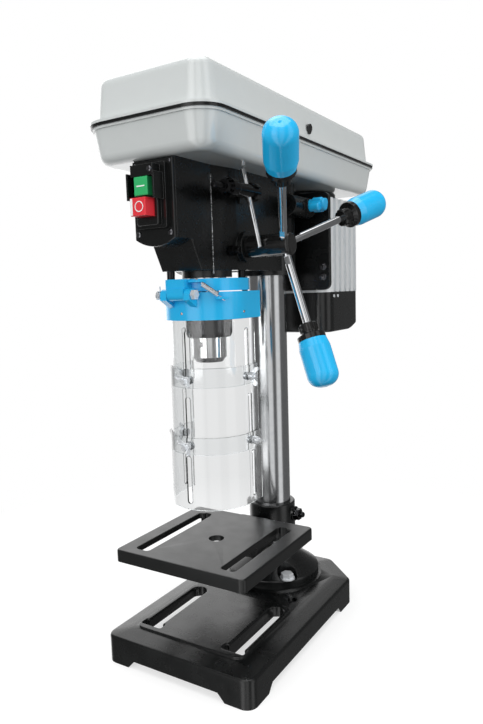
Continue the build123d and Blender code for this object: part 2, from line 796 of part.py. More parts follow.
# Chuck body: bored for the drill, for the three jaws and for the key's pilot
chuck_radius = 19.0
chuck_nose_radius = 18.0
chuck_step_z = chuck_top_z - 32.0
chuck_bevel = (4.0, 5.0)
chuck_top_bevel = 2.0
key_hole_radius = 3.2
key_hole_depth = 8.0
mouth_clearance = 0.8
mouth_depth = 19.0
drill_depth = 34.0
key_hole_z = chuck_step_z - 6.0

with BuildPart() as chuck_body:
    with BuildSketch(front_plane(spindle_y)):
        Polygon(
            (0, chuck_bottom_z),
            (chuck_nose_radius - chuck_bevel[0], chuck_bottom_z),
            (chuck_nose_radius, chuck_bottom_z + chuck_bevel[1]),
            (chuck_nose_radius, chuck_step_z),
            (chuck_radius, chuck_step_z),
            (chuck_radius, chuck_top_z - chuck_top_bevel),
            (chuck_radius - chuck_top_bevel, chuck_top_z),
            (0, chuck_top_z),
            align=None,
        )
    revolve(axis=spindle_axis)
    with BuildSketch(Plane.XY.offset(chuck_bottom_z)):
        with Locations((0, spindle_y)):
            Circle(drill_radius + mouth_clearance)
    extrude(amount=mouth_depth, mode=Mode.SUBTRACT)
    with BuildSketch(Plane.XY.offset(chuck_bottom_z)):
        with Locations((0, spindle_y)):
            Circle(drill_radius)
    extrude(amount=drill_depth, mode=Mode.SUBTRACT)
    with BuildSketch(Plane.XY.offset(spindle_nose_z - 1)):
        with Locations((0, spindle_y)):
            Circle(spindle_radius + fit_gap)
    extrude(amount=chuck_top_z, mode=Mode.SUBTRACT)
    with BuildSketch(*[jaw_plane(number, -10) for number in range(3)]):
        Circle(jaw_radius + running_gap)
    extrude(amount=jaw_length + jaw_stroke + 12, mode=Mode.SUBTRACT)
    with Locations((0, spindle_y, key_hole_z)):
        with PolarLocations(chuck_radius, 3, 30):
            Cylinder(key_hole_radius, 2 * key_hole_depth, rotation=(0, 90, 0), mode=Mode.SUBTRACT)
chuck_body.part.label = "chuck_body"
export_step(chuck_body.part, "parts/chuck_body.step")

# Chuck sleeve: the toothed ring whose thread drives the jaws
sleeve_radius = 24.5
sleeve_bottom_z = chuck_step_z + 1.0
sleeve_height = 22.0
sleeve_top_z = sleeve_bottom_z + sleeve_height
sleeve_lip = 3.0
sleeve_bevel = 2.0
sleeve_cone = 4.0
sleeve_bore = chuck_radius + running_gap
sleeve_groove_radius = 21.5
sleeve_teeth = 30
sleeve_notch = (9.0, 2.4, 5.0)

with BuildPart() as chuck_sleeve:
    with BuildSketch(front_plane(spindle_y)):
        Polygon(
            (sleeve_bore, sleeve_bottom_z),
            (sleeve_radius - sleeve_bevel, sleeve_bottom_z),
            (sleeve_radius, sleeve_bottom_z + sleeve_cone),
            (sleeve_radius, sleeve_top_z - sleeve_bevel),
            (sleeve_radius - sleeve_bevel, sleeve_top_z),
            (sleeve_bore, sleeve_top_z),
            (sleeve_bore, sleeve_top_z - sleeve_lip),
            (sleeve_groove_radius, sleeve_top_z - sleeve_lip),
            (sleeve_groove_radius, sleeve_bottom_z + sleeve_lip),
            (sleeve_bore, sleeve_bottom_z + sleeve_lip),
            align=None,
        )
    revolve(axis=spindle_axis)
    with Locations((0, spindle_y, sleeve_bottom_z)):
        with PolarLocations(sleeve_radius, sleeve_teeth):
            Box(*sleeve_notch, mode=Mode.SUBTRACT)
chuck_sleeve.part.label = "chuck_sleeve"
export_step(chuck_sleeve.part, "parts/chuck_sleeve.step")

# Pulley steps: the pitch radii follow from the motor's speed and the spindle's five speeds
motor_speed = 1400.0
spindle_speeds = [580.0, 850.0, 1220.0, 1650.0, 2650.0]
pulley_pair = cover_width - 8.0
spindle_pitch_radii = [pulley_pair / 2 * motor_speed / (motor_speed + speed) for speed in spindle_speeds]
motor_pitch_radii = [pulley_pair / 2 - radius for radius in spindle_pitch_radii]
pulley_bottom_z = head_top_z + 11.0
pulley_step = 12.0
pulley_top_z = pulley_bottom_z + pulley_step * len(spindle_speeds)
groove_land = 0.6
groove_depth = 7.0
groove_slope = 2.4
pulley_rim = 2.0


def pulley_outline(pitch_radii, bore):
    """Half section of a stepped pulley with one V groove to a step."""
    points = [(bore, pulley_bottom_z)]
    for number, pitch_radius in enumerate(pitch_radii):
        low = pulley_bottom_z + number * pulley_step
        high = low + pulley_step
        rim = pitch_radius + pulley_rim
        points += [
            (rim, low),
            (rim, low + groove_land),
            (rim - groove_depth, low + groove_land + groove_slope),
            (rim - groove_depth, high - groove_land - groove_slope),
            (rim, high - groove_land),
            (rim, high),
        ]
    return points + [(bore, pulley_top_z)]


# Spindle pulley: five steps on a sleeve that runs in the head and slides on the splines
pulley_bore = spline_radius + free_gap
spline_key = (1.2, 1.8)
sleeve_start_z = bore_top_z + 1.0

with BuildPart() as spindle_pulley:
    with BuildSketch(front_plane(spindle_y)):
        Polygon(*pulley_outline(spindle_pitch_radii, pulley_bore), align=None)
    revolve(axis=spindle_axis)
    with BuildSketch(Plane.XY.offset(sleeve_start_z)):
        with Locations((0, spindle_y)):
            Circle(journal_radius)
            Circle(pulley_bore, mode=Mode.SUBTRACT)
    extrude(amount=pulley_bottom_z - sleeve_start_z)
    with BuildSketch(Plane.XY.offset(sleeve_start_z + 1)):
        with Locations((0, spindle_y)):
            with PolarLocations(spline_radius, spline_grooves):
                Rectangle(*spline_key)
    extrude(amount=pulley_top_z - sleeve_start_z - 1)
spindle_pulley.part.label = "spindle_pulley"
export_step(spindle_pulley.part, "parts/spindle_pulley.step")

# Drive belt: a V belt on the middle step of both pulleys
belt_step = 2
belt_z = pulley_bottom_z + (belt_step + 0.5) * pulley_step
belt_front_radius = spindle_pitch_radii[belt_step]
belt_back_radius = motor_pitch_radii[belt_step]
belt_lean = (belt_front_radius - belt_back_radius) / motor_distance
belt_side = sqrt(1 - belt_lean**2)
belt_outer = 1.5
belt_inner = 3.5
belt_half_outer = 4.8
belt_half_inner = 3.1

with BuildPart() as drive_belt:
    with BuildLine():
        front_right = (belt_front_radius * belt_side, spindle_y + belt_front_radius * belt_lean, belt_z)
        back_right = (belt_back_radius * belt_side, motor_y + belt_back_radius * belt_lean, belt_z)
        front_left = (-front_right[0], front_right[1], belt_z)
        back_left = (-back_right[0], back_right[1], belt_z)
        Line(front_right, back_right)
        ThreePointArc(back_right, (0, motor_y + belt_back_radius, belt_z), back_left)
        Line(back_left, front_left)
        ThreePointArc(front_left, (0, spindle_y - belt_front_radius, belt_z), front_right)
    with BuildSketch(Plane(front_right, x_dir=(belt_side, belt_lean, 0), z_dir=(-belt_lean, belt_side, 0))):
        Polygon(
            (belt_outer, -belt_half_outer),
            (belt_outer, belt_half_outer),
            (-belt_inner, belt_half_inner),
            (-belt_inner, -belt_half_inner),
            align=None,
        )
    sweep()
drive_belt.part.label = "drive_belt"
export_step(drive_belt.part, "parts/drive_belt.step")

# Feed shaft: pinion, right journal and the tail that winds the return spring
pinion_start_x = -12.0
pinion_end_x = 14.0
feed_tail_x = -49.0
hub_socket_x = 64.0
pinion_base_radius = pinion_pitch_radius * cos(pressure_angle)


def involute(radius):
    """Involute function of the flank's angle at the given radius."""
    angle_cos = min(1.0, pinion_base_radius / radius)
    angle_tan = sqrt(1 - angle_cos**2) / angle_cos
    return angle_tan - atan2(angle_tan, 1)


def pinion_outline():
    """Points round the pinion, drawn in Y and Z; one tooth points at the rack."""
    half_pitch = pi / pinion_teeth / 2 - gear_backlash / 4 / pinion_pitch_radius
    flank = [pinion_root_radius, pinion_base_radius, pinion_pitch_radius, pinion_tip_radius]
    points = []
    for tooth in range(pinion_teeth):
        middle = pi + 2 * pi * tooth / pinion_teeth
        halves = [half_pitch + involute(pinion_pitch_radius) - involute(radius) for radius in flank]
        for radius, half in zip(flank, halves):
            points.append((feed_y + radius * cos(middle - half), feed_axis_z + radius * sin(middle - half)))
        for radius, half in reversed(list(zip(flank, halves))):
            points.append((feed_y + radius * cos(middle + half), feed_axis_z + radius * sin(middle + half)))
    return points


with BuildPart() as feed_shaft:
    with BuildSketch(side_plane(pinion_start_x)):
        Polygon(*pinion_outline(), align=None)
    extrude(amount=pinion_end_x - pinion_start_x)
    with BuildSketch(side_plane(pinion_end_x)):
        with Locations((feed_y, feed_axis_z)):
            Circle(feed_journal_radius)
    extrude(amount=feed_boss_x - pinion_end_x)
    with BuildSketch(side_plane(feed_tail_x)):
        with Locations((feed_y, feed_axis_z)):
            Circle(feed_tail_radius)
    extrude(amount=hub_socket_x - feed_tail_x)
feed_shaft.part.label = "feed_shaft"
export_step(feed_shaft.part, "parts/feed_shaft.step")

# Feed hub: a round boss on the shaft with three raked sockets for the spokes
hub_radius = 11.3
hub_end_round = 3.0
hub_start_x = feed_boss_x + free_gap
hub_end_x = 86.0
spoke_x = 75.8
spoke_rake = radians(21.2)
spoke_angles = [radians(start) for start in (-50.6, 69.4, 189.4)]
spoke_radius = 4.0
spoke_start = 5.0
spoke_end = 122.0
spoke_flat = (14.0, 9.0, 3.1)
collar_start = 86.0
knob_start = 103.0
knob_end = 150.0


def spoke_plane(angle):
    """The plane at the hub's centre that faces out along one spoke."""
    along = (sin(spoke_rake), cos(spoke_rake) * sin(angle), cos(spoke_rake) * cos(angle))
    return Plane(origin=(spoke_x, feed_y, feed_axis_z), x_dir=(0, cos(angle), -sin(angle)), z_dir=along)


spoke_planes = [spoke_plane(angle) for angle in spoke_angles]

with BuildPart() as feed_hub:
    with BuildSketch(side_plane(hub_start_x)):
        with Locations((feed_y, feed_axis_z)):
            Circle(hub_radius)
    extrude(amount=hub_end_x - hub_start_x)
    fillet(edges().sort_by(Axis.X)[-1], hub_end_round)
    with BuildSketch(side_plane(hub_start_x)):
        with Locations((feed_y, feed_axis_z)):
            Circle(feed_tail_radius + fit_gap)
    extrude(amount=hub_socket_x - hub_start_x, mode=Mode.SUBTRACT)
    with BuildSketch(*[plane.offset(spoke_start) for plane in spoke_planes]):
        Circle(spoke_radius + fit_gap)
    extrude(amount=2 * hub_radius, mode=Mode.SUBTRACT)
feed_hub.part.label = "feed_hub"
export_step(feed_hub.part, "parts/feed_hub.step")

# Feed spokes: three round bars screwed into the hub, each with two flats for a spanner
with BuildPart() as feed_spokes:
    with BuildSketch(*[plane.offset(spoke_start) for plane in spoke_planes]):
        Circle(spoke_radius)
    extrude(amount=spoke_end - spoke_start)
    flat_start, flat_length, flat_half = spoke_flat
    with BuildSketch(*[plane.offset(flat_start) for plane in spoke_planes]):
        with GridLocations(2 * (flat_half + spoke_radius), 0, 2, 1):
            Rectangle(2 * spoke_radius, 2 * spoke_radius)
    extrude(amount=flat_length, mode=Mode.SUBTRACT)
feed_spokes.part.label = "feed_spokes"
export_step(feed_spokes.part, "parts/feed_spokes.step")

# Knob collars: a fluted sleeve on each spoke that widens to a flange behind the knob
collar_sleeve_radius = 9.4
collar_neck_radius = 8.6
collar_sleeve_end = collar_start + 8.0
collar_neck_end = collar_start + 9.8
collar_flange_radius = 13.8
collar_flange_start = collar_start + 12.0
collar_bevel = 1.4
collar_flutes = 8
collar_flute = (2.4, 3.0)

with BuildPart() as one_collar:
    with BuildSketch(Plane.XZ):
        Polygon(
            (spoke_radius + fit_gap, collar_start),
            (collar_sleeve_radius - collar_bevel, collar_start),
            (collar_sleeve_radius, collar_start + collar_bevel),
            (collar_sleeve_radius, collar_sleeve_end),
            (collar_neck_radius, collar_sleeve_end),
            (collar_neck_radius, collar_neck_end),
            (collar_flange_radius, collar_flange_start),
            (collar_flange_radius, knob_start),
            (spoke_radius + fit_gap, knob_start),
            align=None,
        )
    revolve(axis=Axis.Z)
    with BuildSketch(Plane.XY.offset(collar_start)):
        with PolarLocations(collar_sleeve_radius, collar_flutes):
            Rectangle(*collar_flute)
    extrude(amount=collar_sleeve_end - collar_start, mode=Mode.SUBTRACT)
with BuildPart() as knob_collars:
    with Locations(*spoke_planes):
        add(one_collar.part)
knob_collars.part.label = "knob_collars"
export_step(knob_collars.part, "parts/knob_collars.step")

# Feed knobs: dome-ended plastic grips with the moulding's small dimple on top
knob_radius = 15.4
knob_dome = 12.0
knob_taper = 8.0
knob_dimple = (1.7, 1.0)

with BuildPart() as one_knob:
    with BuildSketch(Plane.XZ):
        Polygon(
            (0, knob_end - knob_dimple[1]),
            (0, spoke_end),
            (spoke_radius + fit_gap, spoke_end),
            (spoke_radius + fit_gap, knob_start),
            (collar_flange_radius, knob_start),
            (knob_radius, knob_start + knob_taper),
            (knob_radius, knob_end),
            (knob_dimple[0], knob_end),
            align=None,
        )
        fillet(vertices().sort_by_distance((knob_radius, knob_end))[0], knob_dome)
    revolve(axis=Axis.Z)
with BuildPart() as feed_knobs:
    with Locations(*spoke_planes):
        add(one_knob.part)
feed_knobs.part.label = "feed_knobs"
export_step(feed_knobs.part, "parts/feed_knobs.step")

# Return spring: a flat strip wound as a spiral round the shaft's tail
strip_thickness = 0.8
strip_start = feed_tail_radius + 1.0
strip_pitch = 3.6
strip_half_turns = 8
strip_width = 13.0
spring_cover_x = -cheek_half
spring_cover_end_x = spring_cover_x - 22.0
spring_cover_radius = 26.0
spring_cover_wall = 2.0
spring_cover_round = 3.0


def spiral(start_radius):
    """Points at every quarter of a spiral made of half circles, from the inside out."""
    points = []
    for half in range(strip_half_turns + 1):
        side = 1 if half % 2 == 0 else -1
        here = start_radius + half * strip_pitch / 2
        after = here + strip_pitch / 2
        points.append((feed_y + side * here, feed_axis_z))
        points.append((feed_y + side * (here - after) / 2, feed_axis_z + side * (here + after) / 2))
    return points[:-1]


with BuildPart() as return_spring:
    with BuildSketch(side_plane(spring_cover_end_x + 2 * spring_cover_wall)):
        with BuildLine():
            inner = spiral(strip_start)
            outer = spiral(strip_start + strip_thickness)
            for strip in (inner, outer):
                for half in range(strip_half_turns):
                    ThreePointArc(*strip[2 * half:2 * half + 3])
            Line(inner[0], outer[0])
            Line(inner[-1], outer[-1])
        make_face()
    extrude(amount=strip_width)
return_spring.part.label = "return_spring"
export_step(return_spring.part, "parts/return_spring.step")
print("return spring: gap between turns", strip_pitch - strip_thickness)

# Spring cover: the cup on the head's left side that holds the return spring
with BuildPart() as spring_cover:
    with BuildSketch(side_plane(spring_cover_end_x)):
        with Locations((feed_y, feed_axis_z)):
            Circle(spring_cover_radius)
    extrude(amount=spring_cover_x - spring_cover_end_x)
    fillet(edges().sort_by(Axis.X)[0], spring_cover_round)
    with BuildSketch(side_plane(spring_cover_end_x + spring_cover_wall)):
        with Locations((feed_y, feed_axis_z)):
            Circle(spring_cover_radius - spring_cover_wall)
    extrude(amount=spring_cover_x - spring_cover_end_x, mode=Mode.SUBTRACT)
spring_cover.part.label = "spring_cover"
export_step(spring_cover.part, "parts/spring_cover.step")

# Quill guide screw: its tip runs in the quill's keyway, a nut locks it in the head
guide_nut = (5.0, 5.0)
guide_nut_x = cheek_half - 0.5
guide_end_x = cheek_half + 10.0
guide_chamfer = 0.8

with BuildPart() as quill_guide_screw:
    with BuildSketch(side_plane(quill_radius - keyway_depth + free_gap)):
        with Locations((guide_y, guide_z)):
            Circle(guide_radius)
    extrude(amount=guide_end_x - quill_radius + keyway_depth - free_gap)
    chamfer(edges().sort_by(Axis.X)[-1], guide_chamfer)
    with BuildSketch(side_plane(guide_nut_x)):
        with Locations((guide_y, guide_z)):
            RegularPolygon(guide_nut[0], 6, major_radius=False)
    extrude(amount=guide_nut[1])
quill_guide_screw.part.label = "quill_guide_screw"
export_step(quill_guide_screw.part, "parts/quill_guide_screw.step")

# Motor plate: carries the motor on the two slide rods
motor_plate_front = column_y + 43.0
motor_plate_thickness = 6.0
motor_front = motor_plate_front + motor_plate_thickness
motor_width = 118.0
motor_depth = 2 * (motor_y - motor_front)
motor_top_z = head_top_z - 13.0
motor_bottom_z = motor_top_z - 115.0
motor_corner = 18.0
plate_rise = 4.0
plate_rim = 1.0
plate_margin = 4.0
plate_corner = 8.0
rod_tail = 5.0

with BuildPart() as motor_plate:
    with BuildSketch(front_plane(motor_front)):
        with Locations((0, (motor_bottom_z + motor_top_z) / 2 + plate_rise)):
            plate_height = motor_top_z - motor_bottom_z + 2 * plate_rim
            RectangleRounded(motor_width + 2 * plate_margin, plate_height, plate_corner)
        with Locations((-rod_x, rod_z), (rod_x, rod_z)):
            Circle(rod_radius + fit_gap, mode=Mode.SUBTRACT)
    extrude(amount=motor_plate_thickness)
motor_plate.part.label = "motor_plate"
export_step(motor_plate.part, "parts/motor_plate.step")

# Slide rods: two bars on the motor plate that slide in the head's ears
with BuildPart() as motor_slide_rods:
    with BuildSketch(front_plane(motor_front)):
        with Locations((-rod_x, rod_z), (rod_x, rod_z)):
            Circle(rod_radius)
    extrude(amount=motor_front - ear_front + rod_tail)
motor_slide_rods.part.label = "motor_slide_rods"
export_step(motor_slide_rods.part, "parts/motor_slide_rods.step")

# Motor body: the finned housing with upright flutes on three sides
flute_pitch = 16.5
flute_width = 8.0
flute_depth = 4.0
flute_count = 5

with BuildPart() as motor_body:
    with BuildSketch(Plane.XY.offset(motor_bottom_z)):
        with Locations((0, motor_y)):
            RectangleRounded(motor_width, motor_depth, motor_corner)
            with GridLocations(motor_width, flute_pitch, 2, flute_count):
                Rectangle(2 * flute_depth, flute_width, mode=Mode.SUBTRACT)
            with Locations((0, motor_depth / 2)):
                with GridLocations(flute_pitch, 0, flute_count, 1):
                    Rectangle(flute_width, 2 * flute_depth, mode=Mode.SUBTRACT)
    extrude(amount=motor_top_z - motor_bottom_z)
motor_body.part.label = "motor_body"
export_step(motor_body.part, "parts/motor_body.step")

# Motor end cap: the fan cover under the motor
cap_height = 50.0
cap_bottom_z = motor_bottom_z - cap_height
cap_slope = (40.0, 13.0)
cap_round = 4.0

with BuildPart() as motor_end_cap:
    with BuildSketch(Plane.XY.offset(cap_bottom_z)):
        with Locations((0, motor_y)):
            RectangleRounded(motor_width - plate_rim, motor_depth - plate_rim, motor_corner)
    extrude(amount=cap_height)
    cap_back = motor_y + motor_depth / 2
    with BuildSketch(Plane.YZ):
        Polygon(
            (cap_back, cap_bottom_z),
            (cap_back, cap_bottom_z + cap_slope[1]),
            (cap_back - cap_slope[0], cap_bottom_z),
            align=None,
        )
    extrude(amount=motor_width, both=True, mode=Mode.SUBTRACT)
    fillet(faces().sort_by(Axis.Z)[0].edges(), cap_round)
motor_end_cap.part.label = "motor_end_cap"
export_step(motor_end_cap.part, "parts/motor_end_cap.step")

# Cord gland: where the cord enters the motor's end cap at the back
gland_z = motor_bottom_z - 22.0
gland_start_y = motor_y + (motor_depth - plate_rim) / 2
gland_nut = (9.0, 5.0)
gland_sleeve = (6.5, 9.0)
cord_radius = 4.0

with BuildPart() as cord_gland:
    with BuildSketch(front_plane(gland_start_y)):
        with Locations((0, gland_z)):
            Circle(gland_nut[0])
            Circle(cord_radius, mode=Mode.SUBTRACT)
    extrude(amount=-gland_nut[1])
    with BuildSketch(front_plane(gland_start_y + gland_nut[1])):
        with Locations((0, gland_z)):
            Circle(gland_sleeve[0])
            Circle(cord_radius, mode=Mode.SUBTRACT)
    extrude(amount=-gland_sleeve[1])
cord_gland.part.label = "cord_gland"
export_step(cord_gland.part, "parts/cord_gland.step")

# Motor top bell: the round upper bearing shield under the belt cover
bell_radius = 43.0
bell_top_z = head_top_z - 1.0
bell_round = 3.0
motor_shaft_radius = 7.0

with BuildPart() as motor_top_bell:
    with BuildSketch(Plane.XY.offset(motor_top_z)):
        with Locations((0, motor_y)):
            Circle(bell_radius)
            Circle(motor_shaft_radius + running_gap, mode=Mode.SUBTRACT)
    extrude(amount=bell_top_z - motor_top_z)
    fillet(edges().group_by(Axis.Z)[-1].sort_by(SortBy.LENGTH)[-1], bell_round)
motor_top_bell.part.label = "motor_top_bell"
export_step(motor_top_bell.part, "parts/motor_top_bell.step")

# Motor shaft: stands up through the belt cover's floor
with BuildPart() as motor_shaft:
    with BuildSketch(Plane.XY.offset(motor_top_z + free_gap)):
        with Locations((0, motor_y)):
            Circle(motor_shaft_radius)
    extrude(amount=pulley_top_z - motor_top_z)
motor_shaft.part.label = "motor_shaft"
export_step(motor_shaft.part, "parts/motor_shaft.step")

# Motor pulley: the same steps as the spindle's, the other way up
with BuildPart() as motor_pulley:
    with BuildSketch(front_plane(motor_y)):
        Polygon(*pulley_outline(motor_pitch_radii, motor_shaft_radius + fit_gap), align=None)
    revolve(axis=motor_axis)
motor_pulley.part.label = "motor_pulley"
export_step(motor_pulley.part, "parts/motor_pulley.step")

# Belt tension knob: a knob with two long and two short wings whose screw clamps the right slide rod
wing_radius = 4.5
wing_pairs = [(22.0, 20.0), (8.0, 110.0)]
knob_hub_radius = 7.0
knob_hub_end_x = tension_stub_x + 19.0
wing_start_x = tension_stub_x + 5.0
wing_end_x = tension_stub_x + 16.0
wing_round = 1.5


def knob_wings(span, turn):
    """One pair of wings across the knob's axis, with a rounded front edge."""
    with BuildPart() as wings:
        with BuildSketch(side_plane(wing_start_x)):
            with Locations((tension_y, rod_z)):
                SlotCenterToCenter(span, 2 * wing_radius, rotation=turn)
        extrude(amount=wing_end_x - wing_start_x)
        fillet(faces().sort_by(Axis.X)[-1].edges(), wing_round)
    return wings.part


all_wings = [knob_wings(span, turn) for span, turn in wing_pairs]

with BuildPart() as tension_knob:
    add(all_wings)
    with BuildSketch(side_plane(rod_x + rod_radius + free_gap)):
        with Locations((tension_y, rod_z)):
            Circle(tension_screw_radius)
    extrude(amount=wing_start_x - rod_x - rod_radius - free_gap)
    with BuildSketch(side_plane(tension_stub_x + free_gap)):
        with Locations((tension_y, rod_z)):
            Circle(knob_hub_radius)
    extrude(amount=knob_hub_end_x - tension_stub_x - free_gap)
    fillet(faces().sort_by(Axis.X)[-1].edges(), wing_round)
tension_knob.part.label = "tension_knob"
export_step(tension_knob.part, "parts/tension_knob.step")

# Belt cover: the pan under the belt and its hinged lid share one rounded outline
cover_front = spindle_y - cover_front_reach
cover_middle = cover_front + cover_length / 2
cover_corner = 28.0
cover_sheet = 2.0
cover_flange = 2.2
pan_flange_inset = 2.0
pan_flange_top_z = cover_split_z - 1.6
lid_flange_z = cover_split_z + 1.0
pan_top_inset = 3.5
pan_bottom_inset = 9.5
pan_round = 10.0
lid_bottom_inset = 8.0
lid_top_inset = 12.5
lid_round = 9.0
hinge_x = -cover_width / 2 - 3.0
hinge_radius = 2.6
hinge_pin_radius = 1.2
hinge_knuckle = 10.0
hinge_gap = 0.2
hinge_leaf = 6.4
hinge_inset = 93.5
hinge_places = [cover_front + hinge_inset, cover_front + cover_length - hinge_inset]


def cover_size(inset):
    """Width, length and corner radius of the cover's outline, drawn in by the given amount."""
    return cover_width - 2 * inset, cover_length - 2 * inset, cover_corner - inset


def tapered_block(low_z, low_inset, high_z, high_inset, end, radius):
    """A block with the cover's outline that tapers between two heights; end 0 or -1 has a rounded edge."""
    with BuildPart() as block:
        for height, inset in ((low_z, low_inset), (high_z, high_inset)):
            with BuildSketch(Plane.XY.offset(height)):
                with Locations((0, cover_middle)):
                    RectangleRounded(*cover_size(inset))
        loft(ruled=True)
        fillet(faces().sort_by(Axis.Z)[end].edges(), radius)
    return block.part


def draw_knuckle(leaf_z):
    """Draw a hinge knuckle and the leaf that joins it to a flange at the given height."""
    with Locations((hinge_x, cover_split_z)):
        Circle(hinge_radius)
    with Locations((hinge_x + hinge_leaf / 2, leaf_z)):
        Rectangle(hinge_leaf, cover_flange)


# Cover pan: a pressed tray with a flange, bolted to the head and open where the two shafts come up
pan_outside = tapered_block(head_top_z, pan_bottom_inset, pan_flange_top_z, pan_top_inset, 0, pan_round)
pan_inside = tapered_block(
    head_top_z + cover_sheet,
    pan_bottom_inset + cover_sheet,
    pan_flange_top_z,
    pan_top_inset + cover_sheet,
    0,
    pan_round - cover_sheet,
)
pan_knuckle_ends = [place - hinge_knuckle / 2 - hinge_gap for place in hinge_places]
pan_knuckle_ends += [place + hinge_knuckle * 1.5 + hinge_gap for place in hinge_places]
spindle_opening = 6.0
motor_opening = (30.0, 26.0)

with BuildPart() as cover_pan:
    add(pan_outside)
    with BuildSketch(Plane.XY.offset(pan_flange_top_z - cover_flange)):
        with Locations((0, cover_middle)):
            RectangleRounded(*cover_size(pan_flange_inset))
    extrude(amount=cover_flange)
    with BuildSketch(*[front_plane(end) for end in pan_knuckle_ends]):
        draw_knuckle(pan_flange_top_z - cover_flange / 2)
    extrude(amount=hinge_knuckle)
    with BuildSketch(front_plane(cover_front + cover_length)):
        with Locations((hinge_x, cover_split_z)):
            Circle(hinge_pin_radius + fit_gap)
    extrude(amount=cover_length, mode=Mode.SUBTRACT)
    add(pan_inside, mode=Mode.SUBTRACT)
    with BuildSketch(Plane.XY.offset(head_top_z)):
        with Locations((0, spindle_y)):
            Circle(journal_radius + spindle_opening)
        with Locations((0, motor_y)):
            SlotCenterToCenter(*motor_opening, rotation=90)
    extrude(amount=2 * cover_sheet, mode=Mode.SUBTRACT)
cover_pan.part.label = "cover_pan"
export_step(cover_pan.part, "parts/cover_pan.step")

# Lid seal: the soft strip between the two flanges
seal_inset = 0.5

with BuildPart() as lid_seal:
    with BuildSketch(Plane.XY.offset(pan_flange_top_z)):
        with Locations((0, cover_middle)):
            RectangleRounded(*cover_size(seal_inset))
            RectangleRounded(*cover_size(pan_top_inset + cover_sheet), mode=Mode.SUBTRACT)
    extrude(amount=lid_flange_z - pan_flange_top_z - running_gap)
lid_seal.part.label = "lid_seal"
export_step(lid_seal.part, "parts/lid_seal.step")

# Cover lid: a pressed hood with a flange that sits on the seal
lid_outside = tapered_block(lid_flange_z, lid_bottom_inset, cover_top_z, lid_top_inset, -1, lid_round)
lid_inside = tapered_block(
    lid_flange_z,
    lid_bottom_inset + cover_sheet,
    cover_top_z - cover_sheet,
    lid_top_inset + cover_sheet,
    -1,
    lid_round - cover_sheet,
)
lid_lock_place = (column_y - 16.0, cover_split_z + 17.2)
lid_lock_radius = 2.5

with BuildPart() as cover_lid:
    add(lid_outside)
    with BuildSketch(Plane.XY.offset(lid_flange_z)):
        with Locations((0, cover_middle)):
            RectangleRounded(*cover_size(0))
    extrude(amount=cover_flange)
    with BuildSketch(*[front_plane(place + hinge_knuckle / 2) for place in hinge_places]):
        draw_knuckle(lid_flange_z + cover_flange / 2)
    extrude(amount=hinge_knuckle - hinge_gap)
    with BuildSketch(front_plane(cover_front + cover_length)):
        with Locations((hinge_x, cover_split_z)):
            Circle(hinge_pin_radius + running_gap)
    extrude(amount=cover_length, mode=Mode.SUBTRACT)
    add(lid_inside, mode=Mode.SUBTRACT)
    with BuildSketch(side_plane(0)):
        with Locations(lid_lock_place):
            Circle(lid_lock_radius + running_gap)
    extrude(amount=cover_width, mode=Mode.SUBTRACT)
cover_lid.part.label = "cover_lid"
export_step(cover_lid.part, "parts/cover_lid.step")

# Lid lock: a screw in the lid's right side whose head is a drop with its tip down
lid_lock_x = cover_width / 2 - lid_bottom_inset - 0.6
lid_lock_depth = 8.0
lid_lock_head = (4.2, 2.8)
lid_lock_tip = 6.8
drop_lean = acos(lid_lock_head[0] / lid_lock_tip)
drop_side = lid_lock_head[0] * sin(drop_lean)
drop_low = lid_lock_head[0] * cos(drop_lean)

with BuildPart() as lid_lock:
    with BuildSketch(side_plane(lid_lock_x - lid_lock_depth)):
        with Locations(lid_lock_place):
            Circle(lid_lock_radius)
    extrude(amount=lid_lock_depth)
    with BuildSketch(side_plane(lid_lock_x)):
        with Locations(lid_lock_place):
            Circle(lid_lock_head[0])
            Polygon((drop_side, -drop_low), (-drop_side, -drop_low), (0, -lid_lock_tip), align=None)
    extrude(amount=lid_lock_head[1])
lid_lock.part.label = "lid_lock"
export_step(lid_lock.part, "parts/lid_lock.step")

# Lid hinge pins: one pin through each set of knuckles
hinge_pin_half = 1.5 * hinge_knuckle + 1.0

with BuildPart() as lid_hinge_pins:
    with BuildSketch(*[front_plane(place + hinge_pin_half) for place in hinge_places]):
        with Locations((hinge_x, cover_split_z)):
            Circle(hinge_pin_radius)
    extrude(amount=2 * hinge_pin_half)
lid_hinge_pins.part.label = "lid_hinge_pins"
export_step(lid_hinge_pins.part, "parts/lid_hinge_pins.step")

# Chuck key: a pilot, a bevel gear and a shank, kept on the head's right side
key_x = cheek_half + 15.0
key_z = head_top_z - 24.0
key_tip_y = spindle_y - 53.0
key_gear_start = spindle_y - 35.0
key_gear_end = spindle_y - 12.0
key_end_y = spindle_y + 28.5
key_pilot_radius = 3.0
key_gear_radius = 9.0
key_shank_radius = 7.0
key_axis = Axis((key_x, 0, key_z), (0, 1, 0))
key_bar_y = spindle_y + 11.0
key_bar_radius = 2.6
key_bar_lean = radians(12.4)
key_bar_plane = Plane(
    (key_x, key_bar_y, key_z),
    x_dir=(0, 1, 0),
    z_dir=(-sin(key_bar_lean), 0, cos(key_bar_lean)),
)
key_gear_teeth = 11
key_gear_cone = 8.0
key_gear_back = 5.0
key_gear_notch = (5.0, 2.4)
key_chamfer = 1.0

